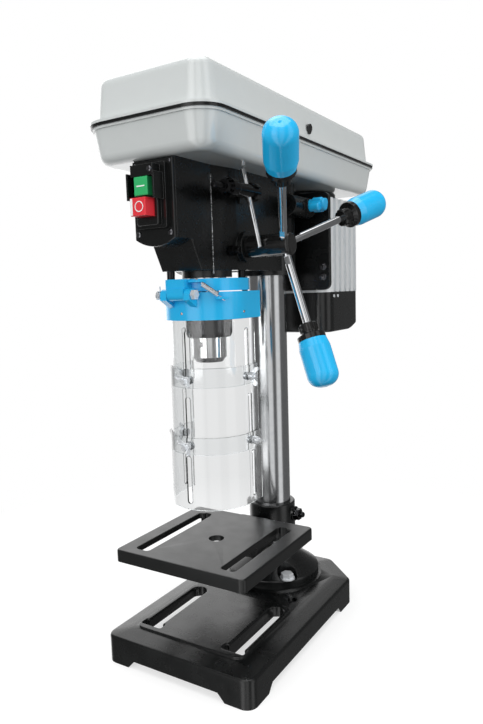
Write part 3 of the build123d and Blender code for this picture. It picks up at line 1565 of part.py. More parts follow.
with BuildPart() as chuck_key:
    with BuildSketch(side_plane(key_x)):
        Polygon(
            (key_tip_y, key_z),
            (key_tip_y, key_z + key_pilot_radius - key_chamfer),
            (key_tip_y + key_chamfer, key_z + key_pilot_radius),
            (key_gear_start, key_z + key_pilot_radius),
            (key_gear_start, key_z + 2 * key_pilot_radius),
            (key_gear_start + key_gear_cone, key_z + key_gear_radius),
            (key_gear_end - key_gear_back, key_z + key_gear_radius),
            (key_gear_end, key_z + key_shank_radius),
            (key_end_y - key_chamfer, key_z + key_shank_radius),
            (key_end_y, key_z + key_shank_radius - key_chamfer),
            (key_end_y, key_z),
            align=None,
        )
    revolve(axis=key_axis)
    with BuildSketch(front_plane(key_gear_start + key_gear_cone)):
        with Locations((key_x, key_z)):
            with PolarLocations(key_gear_radius, key_gear_teeth):
                Rectangle(*key_gear_notch)
    extrude(amount=key_gear_cone, mode=Mode.SUBTRACT)
    with BuildSketch(key_bar_plane):
        Circle(key_bar_radius + fit_gap)
    extrude(amount=2 * key_gear_radius, both=True, mode=Mode.SUBTRACT)
chuck_key.part.label = "chuck_key"
export_step(chuck_key.part, "parts/chuck_key.step")

# Key bar: the loose T-bar through the key's shank
key_bar_up = 24.0
key_bar_down = 57.5
key_bar_round = 1.5

with BuildPart() as key_bar:
    with BuildSketch(key_bar_plane.offset(-key_bar_down)):
        Circle(key_bar_radius)
    extrude(amount=key_bar_up + key_bar_down)
    for end in (0, -1):
        fillet(faces().sort_by(Axis.Z)[end].edges(), key_bar_round)
key_bar.part.label = "key_bar"
export_step(key_bar.part, "parts/key_bar.step")

# Key clip: the C-shaped holder on the head's side that grips the key's shank
clip_front = spindle_y + 17.0
clip_back = spindle_y + 25.0
clip_wall = 2.2
clip_mouth = 8.0
clip_web = 8.0
clip_foot = (2.0, 20.0)

with BuildPart() as key_clip:
    with BuildSketch(front_plane(clip_back)):
        with Locations((key_x, key_z)):
            Circle(key_shank_radius + running_gap + clip_wall)
        with Locations(((cheek_half + key_x) / 2, key_z)):
            Rectangle(key_x - cheek_half, clip_web)
        with Locations((cheek_half + clip_foot[0] / 2, key_z)):
            Rectangle(*clip_foot)
        with Locations((key_x, key_z)):
            Circle(key_shank_radius + running_gap, mode=Mode.SUBTRACT)
        with Locations((key_x + key_shank_radius, key_z)):
            Rectangle(key_shank_radius, clip_mouth, mode=Mode.SUBTRACT)
    extrude(amount=clip_back - clip_front)
key_clip.part.label = "key_clip"
export_step(key_clip.part, "parts/key_clip.step")

# Chuck guard: every section is a channel that is round in front and open at the back
guard_sheet = 2.0
upper_radius = 40.9
section_gap = 0.5
middle_radius = upper_radius + section_gap + guard_sheet
lower_radius = middle_radius + section_gap + guard_sheet
guard_leg_y = spindle_y + 24.5
guard_slot_y = spindle_y + 8.0
guard_slot_width = 5.8
guard_screw_radius = 2.5
guard_travel = 45.0
ring_radius = 40.0
ring_inner = 30.0
ring_bottom_z = head_bottom_z - 20.5
ring_top_z = head_bottom_z - 8.2
ring_leg_y = spindle_y + 14.0
ring_boss_radius = 6.0
arm_radius = 8.0
arm_start = Vector(ring_radius - arm_radius, ring_leg_y)
arm_end = Vector(*post_places[1])
arm_middle = (arm_start + arm_end) / 2
arm_way = arm_end - arm_start
arm_turn = degrees(atan2(arm_way.Y, arm_way.X))
hinge_lug_front = spindle_y - ring_radius - 13.0
hinge_lug_back = spindle_y - ring_radius + 3.0
skirt_radius = 44.2
skirt_gap = 0.3
skirt_inner = upper_radius + skirt_gap
skirt_top_z = ring_bottom_z - 1.0
skirt_bottom_z = skirt_top_z - 27.5
skirt_leg_y = spindle_y + 32.0
guard_pin_y = spindle_y - 49.0
guard_pin_z = ring_bottom_z - 3.0
guard_pin_radius = 2.5
knuckle_radius = 6.0
ring_knuckle = (-12.0, 8.0)
skirt_knuckles = [(-20.0, ring_knuckle[0] - free_gap), (ring_knuckle[1] + free_gap, 15.0)]
knuckle_web = (5.0, 14.0)
ear_hole = Vector(17.0, spindle_y - 43.0, ring_top_z - 2.4)
ear_plate = (14.0, 15.0, 2.0)
ear_offset = 3.0
ledge_turn = radians(50)
ledge_reach = skirt_radius + 6.5
ledge_x = ledge_reach * sin(ledge_turn)
ledge_y = spindle_y - ledge_reach * cos(ledge_turn)
ledge_hole = Vector(ledge_x, ledge_y, skirt_top_z - 6.0)
ledge_plate = (11.0, 11.0, 2.0)
ledge_offset = 2.0
spring_plate = 2.0
spring_hole_radius = 2.5


def channel_edge(radius, leg_y):
    """Draw one face of a channel: leg, round front, leg."""
    left = (-radius, spindle_y)
    right = (radius, spindle_y)
    Line((-radius, leg_y), left)
    ThreePointArc(left, (0, spindle_y - radius), right)
    Line(right, (radius, leg_y))


def guard_planes(z):
    """Planes that face out through the guard's front and its two legs at the given height."""
    return [
        Plane((0, spindle_y, z), x_dir=(1, 0, 0), z_dir=(0, -1, 0)),
        Plane((0, guard_slot_y, z), x_dir=(0, 1, 0), z_dir=(1, 0, 0)),
        Plane((0, guard_slot_y, z), x_dir=(0, -1, 0), z_dir=(-1, 0, 0)),
    ]


# Guard ring: the fixed collar under the head that carries the guard's hinge
with BuildPart() as guard_ring:
    with BuildSketch(Plane.XY.offset(ring_bottom_z)):
        with BuildLine():
            channel_edge(ring_radius, ring_leg_y)
            channel_edge(ring_inner, ring_leg_y)
            Line((ring_inner, ring_leg_y), (ring_radius, ring_leg_y))
            Line((-ring_inner, ring_leg_y), (-ring_radius, ring_leg_y))
        make_face()
        with Locations(post_places[0]):
            Circle(ring_boss_radius)
        with Locations(arm_middle):
            SlotCenterToCenter(arm_way.length, 2 * arm_radius, rotation=arm_turn)
        with Locations((sum(ring_knuckle) / 2, (hinge_lug_front + hinge_lug_back) / 2)):
            Rectangle(ring_knuckle[1] - ring_knuckle[0], hinge_lug_back - hinge_lug_front)
    extrude(amount=ring_top_z - ring_bottom_z)
    with BuildSketch(side_plane(ring_knuckle[0])):
        with Locations((guard_pin_y, guard_pin_z)):
            Circle(knuckle_radius)
        with Locations((guard_pin_y, guard_pin_z + knuckle_radius / 2)):
            Rectangle(2 * knuckle_radius, knuckle_radius)
    extrude(amount=ring_knuckle[1] - ring_knuckle[0])
    with BuildSketch(Plane.XY.offset(ear_hole.Z - spring_plate / 2)):
        with Locations((ear_hole.X - ear_offset, ear_hole.Y + ear_offset)):
            RectangleRounded(*ear_plate)
    extrude(amount=spring_plate)
    with BuildSketch(Plane.XY.offset(ring_bottom_z)):
        with Locations(*post_places):
            Circle(post_radius + fit_gap)
    extrude(amount=ring_top_z - ring_bottom_z, mode=Mode.SUBTRACT)
    with BuildSketch(Plane.XY.offset(ear_hole.Z - spring_plate)):
        with Locations((ear_hole.X, ear_hole.Y)):
            Circle(spring_hole_radius)
    extrude(amount=2 * spring_plate, mode=Mode.SUBTRACT)
    with BuildSketch(side_plane(ring_knuckle[0])):
        with Locations((guard_pin_y, guard_pin_z)):
            Circle(guard_pin_radius + fit_gap)
    extrude(amount=ring_knuckle[1] - ring_knuckle[0], mode=Mode.SUBTRACT)
guard_ring.part.label = "guard_ring"
export_step(guard_ring.part, "parts/guard_ring.step")

# Guard posts: two pins that hang the ring under the head
with BuildPart() as guard_posts:
    with BuildSketch(Plane.XY.offset(ring_bottom_z)):
        with Locations(*post_places):
            Circle(post_radius)
    extrude(amount=head_bottom_z + post_depth - 1 - ring_bottom_z)
guard_posts.part.label = "guard_posts"
export_step(guard_posts.part, "parts/guard_posts.step")

# Guard hinge pin: a bolt through the knuckles, its head on the right
pin_head = (4.5, 4.0)
pin_left_x = -28.0

with BuildPart() as guard_hinge_pin:
    with BuildSketch(side_plane(pin_left_x)):
        with Locations((guard_pin_y, guard_pin_z)):
            Circle(guard_pin_radius)
    extrude(amount=skirt_knuckles[1][1] + free_gap - pin_left_x)
    with BuildSketch(side_plane(skirt_knuckles[1][1] + free_gap)):
        with Locations((guard_pin_y, guard_pin_z)):
            RegularPolygon(pin_head[0], 6, major_radius=False)
    extrude(amount=pin_head[1])
guard_hinge_pin.part.label = "guard_hinge_pin"
export_step(guard_hinge_pin.part, "parts/guard_hinge_pin.step")

# Guard skirt: the swinging blue band that holds the clear sections
with BuildPart() as guard_skirt:
    with BuildSketch(Plane.XY.offset(skirt_bottom_z)):
        with BuildLine():
            channel_edge(skirt_radius, skirt_leg_y)
            channel_edge(skirt_inner, skirt_leg_y)
            Line((skirt_inner, skirt_leg_y), (skirt_radius, skirt_leg_y))
            Line((-skirt_inner, skirt_leg_y), (-skirt_radius, skirt_leg_y))
        make_face()
    extrude(amount=skirt_top_z - skirt_bottom_z)
    with BuildSketch(side_plane(ring_knuckle[0] - free_gap)):
        with Locations((guard_pin_y, guard_pin_z)):
            Circle(knuckle_radius + 1)
    extrude(amount=ring_knuckle[1] - ring_knuckle[0] + 2 * free_gap, mode=Mode.SUBTRACT)
    with BuildSketch(Plane.XY.offset(guard_pin_z)):
        with Locations((sum(ring_knuckle) / 2, spindle_y - skirt_radius)):
            Rectangle(ring_knuckle[1] - ring_knuckle[0] + 2 * free_gap, 4 * guard_sheet)
    extrude(amount=skirt_top_z, mode=Mode.SUBTRACT)
    for left, right in skirt_knuckles:
        with BuildSketch(side_plane(left)):
            with Locations((guard_pin_y, guard_pin_z)):
                Circle(knuckle_radius)
            Polygon(
                (guard_pin_y - knuckle_radius, guard_pin_z),
                (guard_pin_y - knuckle_radius, guard_pin_z - knuckle_web[0]),
                (spindle_y - skirt_inner + guard_sheet, guard_pin_z - knuckle_web[1]),
                (spindle_y - skirt_inner + guard_sheet, guard_pin_z),
                align=None,
            )
        extrude(amount=right - left)
    with BuildSketch(Plane.XY.offset(skirt_bottom_z)):
        with BuildLine():
            channel_edge(skirt_inner, skirt_leg_y)
            Line((-skirt_inner, skirt_leg_y), (skirt_inner, skirt_leg_y))
        make_face()
    extrude(amount=skirt_top_z, mode=Mode.SUBTRACT)
    with BuildSketch(Plane.XY.offset(ledge_hole.Z - spring_plate / 2)):
        with Locations(Location((0, spindle_y), degrees(ledge_turn))):
            with Locations((0, ledge_offset - ledge_reach)):
                RectangleRounded(*ledge_plate)
        with Locations((0, spindle_y)):
            Circle(skirt_inner + 1, mode=Mode.SUBTRACT)
    extrude(amount=spring_plate)
    with BuildSketch(Plane.XY.offset(ledge_hole.Z - spring_plate)):
        with Locations((ledge_hole.X, ledge_hole.Y)):
            Circle(spring_hole_radius)
    extrude(amount=2 * spring_plate, mode=Mode.SUBTRACT)
    with BuildSketch(side_plane(-base_width / 2)):
        with Locations((guard_pin_y, guard_pin_z)):
            Circle(guard_pin_radius + running_gap)
    extrude(amount=base_width, mode=Mode.SUBTRACT)
guard_skirt.part.label = "guard_skirt"
export_step(guard_skirt.part, "parts/guard_skirt.step")

# Clear sections: three telescoping channels, slotted so that each slides on the one above
lower_height = 75.0
lower_slot_z = guard_bottom_z + 6.0
middle_bottom_z = guard_bottom_z + lower_height - 18.0
middle_height = 88.0
upper_bottom_z = middle_bottom_z + middle_height - 20.0
upper_top_z = skirt_top_z - 3.0
middle_screw_z = middle_bottom_z + middle_height - 12.0
lower_screw_z = guard_bottom_z + lower_height - 9.0
slot_rise = guard_travel + 2 * guard_screw_radius


def cut_guard_holes(slot_low, slot_high, hole_z):
    """Cut the three slots of a section and, where it carries screws, their holes."""
    with BuildSketch(*guard_planes((slot_low + slot_high) / 2)) as slots:
        SlotOverall(slot_high - slot_low, guard_slot_width, rotation=90)
    extrude(slots.sketch, amount=2 * lower_radius, mode=Mode.SUBTRACT)
    if hole_z:
        with BuildSketch(*guard_planes(hole_z)) as holes:
            Circle(guard_screw_radius + fit_gap)
        extrude(holes.sketch, amount=2 * lower_radius, mode=Mode.SUBTRACT)


def channel_section(radius):
    """Draw the closed outline of one clear section inside the active line builder."""
    channel_edge(radius, guard_leg_y)
    channel_edge(radius - guard_sheet, guard_leg_y)
    Line((radius - guard_sheet, guard_leg_y), (radius, guard_leg_y))
    Line((guard_sheet - radius, guard_leg_y), (-radius, guard_leg_y))


with BuildPart() as guard_upper:
    with BuildSketch(Plane.XY.offset(upper_bottom_z)):
        with BuildLine():
            channel_section(upper_radius)
        make_face()
    extrude(amount=upper_top_z - upper_bottom_z)
    cut_guard_holes(middle_screw_z - guard_slot_width / 2, middle_screw_z + slot_rise, None)
    with BuildSketch(Plane.XY.offset(guard_pin_z - knuckle_radius - 2)):
        with Locations((sum(ring_knuckle) / 2, spindle_y - upper_radius)):
            Rectangle(ring_knuckle[1] - ring_knuckle[0] + 2, 4 * guard_sheet)
    extrude(amount=upper_top_z, mode=Mode.SUBTRACT)
guard_upper.part.label = "guard_upper"
export_step(guard_upper.part, "parts/guard_upper.step")

with BuildPart() as guard_middle:
    with BuildSketch(Plane.XY.offset(middle_bottom_z)):
        with BuildLine():
            channel_section(middle_radius)
        make_face()
    extrude(amount=middle_height)
    cut_guard_holes(lower_screw_z - guard_slot_width / 2, lower_screw_z + slot_rise, middle_screw_z)
guard_middle.part.label = "guard_middle"
export_step(guard_middle.part, "parts/guard_middle.step")

with BuildPart() as guard_lower:
    with BuildSketch(Plane.XY.offset(guard_bottom_z)):
        with BuildLine():
            channel_section(lower_radius)
        make_face()
    extrude(amount=lower_height)
    cut_guard_holes(lower_slot_z, lower_slot_z + slot_rise, lower_screw_z)
guard_lower.part.label = "guard_lower"
export_step(guard_lower.part, "parts/guard_lower.step")

# Guard screws: three at each joint of the sections, each a screw with its wing nut
screw_head = (4.5, 2.2)
screw_tail = 8.0
nut_radius = 4.2
nut_height = 5.0
ear_root = (3.0, 2.9)
ear_tip = (7.6, 7.4)
ear_width = 4.8
ear_thickness = 1.8
ear_middle = ((ear_root[0] + ear_tip[0]) / 2, (ear_root[1] + ear_tip[1]) / 2)
ear_length = hypot(ear_tip[0] - ear_root[0], ear_tip[1] - ear_root[1])
ear_lean = degrees(atan2(ear_tip[1] - ear_root[1], ear_tip[0] - ear_root[0]))
middle_nut_turns = (-34.0, 80.0, 40.0)
lower_nut_turns = (-47.0, -15.0, -70.0)


def guard_screw(inner_face, outer_face):
    """A screw on the Z axis through sheets that lie between the given distances from the guard's middle."""
    with BuildPart() as screw:
        with Locations((0, 0, inner_face - screw_head[1])):
            Cylinder(*screw_head, align=bottom_up)
        with Locations((0, 0, inner_face)):
            Cylinder(guard_screw_radius, outer_face + screw_tail - inner_face, align=bottom_up)
    return screw.part


def wing_nut(seat):
    """A wing nut on the Z axis that sits at the given distance from the guard's middle."""
    with BuildPart() as nut:
        with BuildSketch(Plane.XZ):
            for side in (-1, 1):
                with Locations((side * ear_middle[0], seat + ear_middle[1])):
                    SlotCenterToCenter(ear_length, ear_width, rotation=side * ear_lean)
        extrude(amount=ear_thickness / 2, both=True)
        with BuildSketch(Plane.XY.offset(seat)):
            Circle(nut_radius)
        extrude(amount=nut_height)
        with BuildSketch(Plane.XY.offset(seat)):
            Circle(guard_screw_radius + fit_gap)
        extrude(amount=2 * nut_height, mode=Mode.SUBTRACT)
    return nut.part


def turned(planes, turns):
    """Places on the given planes, each turned about its plane's axis by an angle in degrees."""
    return [plane.location * Rotation(0, 0, turn) for plane, turn in zip(planes, turns)]


middle_screw = guard_screw(upper_radius - guard_sheet - free_gap, middle_radius)
middle_nut = wing_nut(middle_radius)
lower_screw = guard_screw(middle_radius - guard_sheet - free_gap, lower_radius)
lower_nut = wing_nut(lower_radius)

with BuildPart() as guard_middle_screws:
    with Locations(*guard_planes(middle_screw_z)):
        add(middle_screw)
    with Locations(*turned(guard_planes(middle_screw_z), middle_nut_turns)):
        add(middle_nut)
guard_middle_screws.part.label = "guard_middle_screws"
export_step(guard_middle_screws.part, "parts/guard_middle_screws.step")

with BuildPart() as guard_lower_screws:
    with Locations(*guard_planes(lower_screw_z)):
        add(lower_screw)
    with Locations(*turned(guard_planes(lower_screw_z), lower_nut_turns)):
        add(lower_nut)
guard_lower_screws.part.label = "guard_lower_screws"
export_step(guard_lower_screws.part, "parts/guard_lower_screws.step")


# Wound springs: a wire path of short arcs that meet smoothly
def biarc(start, start_way, end, end_way):
    """Join two points with given directions by two arcs."""
    chord = end - start
    bend = 2 * (start_way.dot(end_way) - 1)
    along = 2 * chord.dot(start_way + end_way)
    span = chord.dot(chord)
    reach = 2 * span / (along + sqrt(along**2 - 4 * bend * span))
    first = start + start_way * reach
    second = end - end_way * reach
    joint = (first + second) * 0.5
    TangentArc(start, joint, tangent=start_way)
    TangentArc(joint, end, tangent=second - first)


def smallest_gap(wire, wire_diameter):
    """Smallest clear distance between two turns, measured on points along the wire."""
    count = 500
    points = [wire.position_at(number / count) for number in range(count + 1)]
    apart = round(count * 4 * wire_diameter / wire.length)
    distances = []
    for number, point in enumerate(points):
        distances += [(other - point).length for other in points[number + apart:]]
    return min(distances) - wire_diameter


# Guard tension spring: pulls the skirt up against the ring, hooked through ear and ledge
tension_wire = 1.0
tension_coil_radius = 2.0
tension_turns = 10
tension_pitch = 1.6
tension_lead = 2.5
spring_along = (ledge_hole - ear_hole).normalized()
spring_side = spring_along.cross(Vector(0, 0, 1)).normalized()
spring_rise = spring_side.cross(spring_along)
spring_length = (ledge_hole - ear_hole).length
coil_start = (spring_length - tension_turns * tension_pitch) / 2
away = Vector(spring_along.X, spring_along.Y, 0).normalized()
down = Vector(0, 0, -1)
hook_bend = 2.2


def coil_point(turns):
    """Point and direction of the tension spring's wire after the given number of turns."""
    angle = 2 * pi * turns
    outward = spring_side * cos(angle) + spring_rise * sin(angle)
    around = spring_rise * cos(angle) - spring_side * sin(angle)
    point = ear_hole + spring_along * (coil_start + turns * tension_pitch) + outward * tension_coil_radius
    way = around * (2 * pi * tension_coil_radius) + spring_along * tension_pitch
    return point, way.normalized()


with BuildPart() as guard_spring:
    with BuildLine() as tension_path:
        hook_top = ear_hole - down * (spring_plate / 2 + hook_bend)
        hook_low = ledge_hole + down * (spring_plate / 2 + hook_bend)
        nodes = [
            (hook_top - away * hook_bend, away),
            (ear_hole - down * spring_plate / 2, down),
            (ear_hole + spring_along * (coil_start - tension_lead), spring_along),
        ]
        nodes += [coil_point(half / 2) for half in range(2 * tension_turns + 1)]
        nodes += [
            (ledge_hole - spring_along * (coil_start - tension_lead), spring_along),
            (ledge_hole + down * spring_plate / 2, down),
            (hook_low + away * hook_bend, away),
        ]
        Line(nodes[0][0] - nodes[0][1] * tension_wire, nodes[0][0])
        for (start, start_way), (end, end_way) in zip(nodes, nodes[1:]):
            biarc(start, start_way, end, end_way)
        Line(nodes[-1][0], nodes[-1][0] + nodes[-1][1] * tension_wire)
    with BuildSketch(Plane(nodes[0][0] - nodes[0][1] * tension_wire, z_dir=nodes[0][1])):
        Circle(tension_wire / 2)
    sweep()
guard_spring.part.label = "guard_spring"
export_step(guard_spring.part, "parts/guard_spring.step")
print("guard spring: smallest gap to itself", smallest_gap(tension_path.wire(), tension_wire))

# Guard torsion spring: wound round the hinge pin's left end, one leg on the ring, one on the skirt
torsion_wire = 1.2
torsion_radius = 4.2
torsion_turns = 3
torsion_pitch = 1.8
torsion_start_x = skirt_knuckles[0][0] - 2.2
torsion_leg = 9.0


def torsion_point(turns):
    """Point and direction of the torsion spring's wire after the given number of turns."""
    angle = 2 * pi * turns
    point = Vector(
        torsion_start_x - turns * torsion_pitch,
        guard_pin_y + torsion_radius * cos(angle),
        guard_pin_z + torsion_radius * sin(angle),
    )
    way = Vector(
        -torsion_pitch,
        -2 * pi * torsion_radius * sin(angle),
        2 * pi * torsion_radius * cos(angle),
    )
    return point, way.normalized()


with BuildPart() as guard_torsion_spring:
    with BuildLine() as torsion_path:
        turns = [torsion_point(half / 2) for half in range(2 * torsion_turns + 1)]
        Line(turns[0][0] - turns[0][1] * torsion_leg, turns[0][0])
        for (start, start_way), (end, end_way) in zip(turns, turns[1:]):
            biarc(start, start_way, end, end_way)
        Line(turns[-1][0], turns[-1][0] + turns[-1][1] * torsion_leg)
    with BuildSketch(Plane(turns[0][0] - turns[0][1] * torsion_leg, z_dir=turns[0][1])):
        Circle(torsion_wire / 2)
    sweep()
guard_torsion_spring.part.label = "guard_torsion_spring"
export_step(guard_torsion_spring.part, "parts/guard_torsion_spring.step")
print("guard torsion spring: smallest gap to itself", smallest_gap(torsion_path.wire(), torsion_wire))
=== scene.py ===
import random
from math import cos, pi, radians, sin, tan

import bmesh
import bpy
from mathutils import Matrix, Vector


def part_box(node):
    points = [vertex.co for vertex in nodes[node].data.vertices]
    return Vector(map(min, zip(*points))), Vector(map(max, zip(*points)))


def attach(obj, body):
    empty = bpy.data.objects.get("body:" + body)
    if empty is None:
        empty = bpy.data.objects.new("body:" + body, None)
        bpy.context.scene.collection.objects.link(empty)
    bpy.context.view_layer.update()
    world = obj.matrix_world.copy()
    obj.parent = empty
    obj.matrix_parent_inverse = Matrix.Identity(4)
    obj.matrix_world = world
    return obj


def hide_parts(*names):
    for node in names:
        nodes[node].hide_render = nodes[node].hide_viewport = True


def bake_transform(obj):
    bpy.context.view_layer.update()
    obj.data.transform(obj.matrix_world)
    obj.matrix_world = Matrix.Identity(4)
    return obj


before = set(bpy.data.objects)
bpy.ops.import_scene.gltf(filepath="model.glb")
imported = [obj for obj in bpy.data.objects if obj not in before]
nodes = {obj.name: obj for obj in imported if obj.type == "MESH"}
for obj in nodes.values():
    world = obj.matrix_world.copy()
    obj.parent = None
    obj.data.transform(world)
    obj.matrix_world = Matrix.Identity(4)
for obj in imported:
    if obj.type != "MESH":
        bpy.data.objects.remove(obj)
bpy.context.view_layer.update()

# Base casting
# A hollow iron tray on four feet with a raised, slotted pad. The rough casting is blasted and sprayed
# semi-gloss black. Its edges are painted a little paler: partly paint worn thin there, partly a painted
# highlight along the rounded edges.
mm = 0.001


def new_node(tree, kind, inputs=None, **settings):
    """Add one node; an input is either a plain value or another node's output."""
    node = tree.nodes.new(kind)
    for name, value in settings.items():
        setattr(node, name, value)
    for name, value in (inputs or {}).items():
        if isinstance(value, bpy.types.NodeSocket):
            tree.links.new(value, node.inputs[name])
        else:
            node.inputs[name].default_value = value
    return node


def new_finish(name):
    """A new material with its node tree and its shader."""
    material = bpy.data.materials.new(name)
    material.use_nodes = True
    return material, material.node_tree, material.node_tree.nodes["Principled BSDF"]


def grain(tree, size, detail=3.0, stretch=(1, 1, 1)):
    """Cloudy noise with blotches of a size in metres, packed closer along an axis by its stretch."""
    place = new_node(tree, "ShaderNodeTexCoord").outputs["Object"]
    drawn = new_node(tree, "ShaderNodeMapping", {"Vector": place, "Scale": stretch}).outputs["Vector"]
    noise = new_node(tree, "ShaderNodeTexNoise", {"Vector": drawn, "Scale": 1 / size, "Detail": detail})
    return noise.outputs["Fac"]


def spread(tree, value, low, high, start=0.3, end=0.7):
    """Stretch a value between start and end over the range from low to high."""
    limits = {"Value": value, "From Min": start, "From Max": end, "To Min": low, "To Max": high}
    return new_node(tree, "ShaderNodeMapRange", limits).outputs["Result"]


def shade(tree, value, *colours):
    """Run a value from 0 to 1 through the given colours, evenly spaced."""
    ramp = new_node(tree, "ShaderNodeValToRGB", {"Fac": value})
    stops = ramp.color_ramp.elements
    stops.remove(stops[-1])
    for number, colour in enumerate(colours):
        place = number / (len(colours) - 1)
        stop = stops[0] if number == 0 else stops.new(place)
        stop.position = place
        stop.color = (*colour, 1)
    return ramp.outputs["Color"]


def combine(tree, kind, first, second):
    """One sum of two values, such as MULTIPLY or MAXIMUM."""
    return new_node(tree, "ShaderNodeMath", {0: first, 1: second}, operation=kind).outputs["Value"]


def blend_colours(tree, share, first, second):
    """A colour that goes from the first to the second as the share goes from 0 to 1."""
    mix = new_node(tree, "ShaderNodeMixRGB", {"Fac": share, "Color1": first, "Color2": second})
    return mix.outputs["Color"]


def rounded(tree, radius):
    """The normal of a surface whose sharp edges are rounded by the radius."""
    return new_node(tree, "ShaderNodeBevel", {"Radius": radius}, samples=6).outputs["Normal"]


def edge_share(tree, round_normal):
    """How much of an edge a point is, from 0 to 1, by how far the rounded normal leans from the true one."""
    on_edge = 0.80
    on_face = 0.99
    true_normal = new_node(tree, "ShaderNodeNewGeometry").outputs["Normal"]
    pair = {0: round_normal, 1: true_normal}
    match = new_node(tree, "ShaderNodeVectorMath", pair, operation="DOT_PRODUCT").outputs["Value"]
    return spread(tree, match, 1, 0, on_edge, on_face)


def roughen(tree, shader, height, depth, normal=None):
    """Emboss the surface by a height that goes from 0 to 1 over the given depth in metres."""
    inputs = {"Height": height, "Strength": 1.0, "Distance": depth}
    if normal:
        inputs["Normal"] = normal
    bump = new_node(tree, "ShaderNodeBump", inputs)
    tree.links.new(bump.outputs["Normal"], shader.inputs["Normal"])


def paint(name, dark, pale, edge_wear_and_highlight, roughness, peel, edge_round):
    """Sprayed paint: two close tones, an edge tone that is partly wear and partly a painted highlight,
    a range of roughness and orange peel.
    """
    material, tree, shader = new_finish(name)
    normal = rounded(tree, edge_round)
    tone = shade(tree, grain(tree, size=45 * mm), dark, pale)
    edge_wear_and_highlight_share = combine(tree, "MULTIPLY", edge_share(tree, normal), grain(tree, size=3 * mm))
    tree.links.new(blend_colours(tree, edge_wear_and_highlight_share, tone, (*edge_wear_and_highlight, 1)), shader.inputs["Base Color"])
    gloss = spread(tree, grain(tree, size=18 * mm, detail=5.0), *roughness)
    tree.links.new(gloss, shader.inputs["Roughness"])
    roughen(tree, shader, grain(tree, size=1.6 * mm, detail=2.0), peel, normal)
    return material


iron_dark = (0.003, 0.0035, 0.0035)
iron_pale = (0.006, 0.0065, 0.0065)
# The edge tone is partly wear and partly a painted highlight on the rounded edges.
iron_edge_wear_and_highlight = (0.050, 0.052, 0.052)
iron_tones = (iron_dark, iron_pale, iron_edge_wear_and_highlight)
iron_edge = 1.0 * mm
casting_black = paint(
    "casting_black", *iron_tones, roughness=(0.21, 0.31), peel=0.04 * mm, edge_round=iron_edge
)

weld = 0.002 * mm


def plan(low, high, corner, height, outset):
    """Points of a rounded rectangle at a height, its sides moved out by the outset."""
    arc_steps = 8
    reach = corner + outset
    points = []
    for number, (x, y) in enumerate(((1, 1), (0, 1), (0, 0), (1, 0))):
        middle_x = high[0] - corner if x else low[0] + corner
        middle_y = high[1] - corner if y else low[1] + corner
        for step in range(arc_steps + 1):
            turn = pi / 2 * (number + step / arc_steps)
            points.append((middle_x + reach * cos(turn), middle_y + reach * sin(turn), height))
    return points


def skin(form, loops):
    """Bridge rings of points one after another, and close the first and the last ring."""
    rings = []
    for loop in loops:
        points = [form.verts.new(point) for point in loop]
        rings.append([form.edges.new(pair) for pair in zip(points, points[1:] + points[:1])])
    for ring, following in zip(rings, rings[1:]):
        bmesh.ops.bridge_loops(form, edges=ring + following)
    for ring in (rings[0], rings[-1]):
        bmesh.ops.contextual_create(form, geom=ring)


def slot_cutter(form, low, high, corner, bottom, top, lip):
    """Add an upright cutter with a rounded plan, whose top flares out into a rounded lip."""
    lip_steps = 4
    loops = [plan(low, high, corner, bottom, 0)]
    for step in range(lip_steps + 1):
        turn = pi / 2 * step / lip_steps
        loops.append(plan(low, high, corner, top - lip + lip * sin(turn), lip * (1 - cos(turn))))
    loops.append(plan(low, high, corner, top + lip, lip))
    skin(form, loops)


def recut(node, cutter):
    """A copy of a frame piece with the cutter taken away from it."""
    whole = bmesh.new()
    whole.from_mesh(nodes[node].data)
    bmesh.ops.remove_doubles(whole, verts=whole.verts, dist=weld)
    bmesh.ops.recalc_face_normals(cutter, faces=cutter.faces)
    blocks = []
    for form in (whole, cutter):
        mesh = bpy.data.meshes.new("block")
        form.to_mesh(mesh)
        form.free()
        blocks.append(bpy.data.objects.new("block", mesh))
        bpy.context.collection.objects.link(blocks[-1])
    cut = blocks[0].modifiers.new("cut", "BOOLEAN")
    cut.operation = "DIFFERENCE"
    cut.use_self = True
    cut.object = blocks[1]
    result = bmesh.new()
    result.from_object(blocks[0], bpy.context.evaluated_depsgraph_get())
    for block in blocks:
        bpy.data.objects.remove(block)
    return result


def finish_piece(name, form, material, body=None, crease=35):
    """Close the form, face it outwards, smooth it up to a crease in degrees and let it ride on its body."""
    bmesh.ops.remove_doubles(form, verts=form.verts, dist=weld)
    bmesh.ops.recalc_face_normals(form, faces=form.faces)
    mesh = bpy.data.meshes.new(name)
    form.to_mesh(mesh)
    form.free()
    mesh.shade_smooth()
    mesh.set_sharp_from_angle(angle=radians(crease))
    mesh.materials.clear()
    mesh.materials.append(material)
    piece = bpy.data.objects.new(name, mesh)
    piece.modifiers.new("flat_faces", "WEIGHTED_NORMAL").keep_sharp = True
    bpy.context.collection.objects.link(piece)
    if body:
        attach(piece, body)
    return piece


pad_slot_x = 51.5 * mm
pad_slot_half = 9.0 * mm
pad_slot_corner = 8.0 * mm
pad_slot_front = -116.0 * mm
pad_slot_back = -16.0 * mm
pad_notch_half = 12.2 * mm
pad_notch_corner = 1.5 * mm
pad_notch_back = -107.0 * mm
pad_lip = 2.0 * mm
seat_above_pad = 0.5 * mm
below_base = -1.0 * mm
pad_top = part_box("base")[1][2] - seat_above_pad
pad_cuts = (
    (pad_slot_half, pad_slot_back, pad_slot_corner),
    (pad_notch_half, pad_notch_back, pad_notch_corner),
)
cutter = bmesh.new()
for middle in (-pad_slot_x, pad_slot_x):
    for half, back, corner in pad_cuts:
        low = (middle - half, pad_slot_front)
        high = (middle + half, back)
        slot_cutter(cutter, low, high, corner, below_base, pad_top, pad_lip)
casting_crease = 28
base_form = recut("base", cutter)
base = finish_piece("base_casting", base_form, casting_black, "frame", casting_crease)
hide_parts("base")


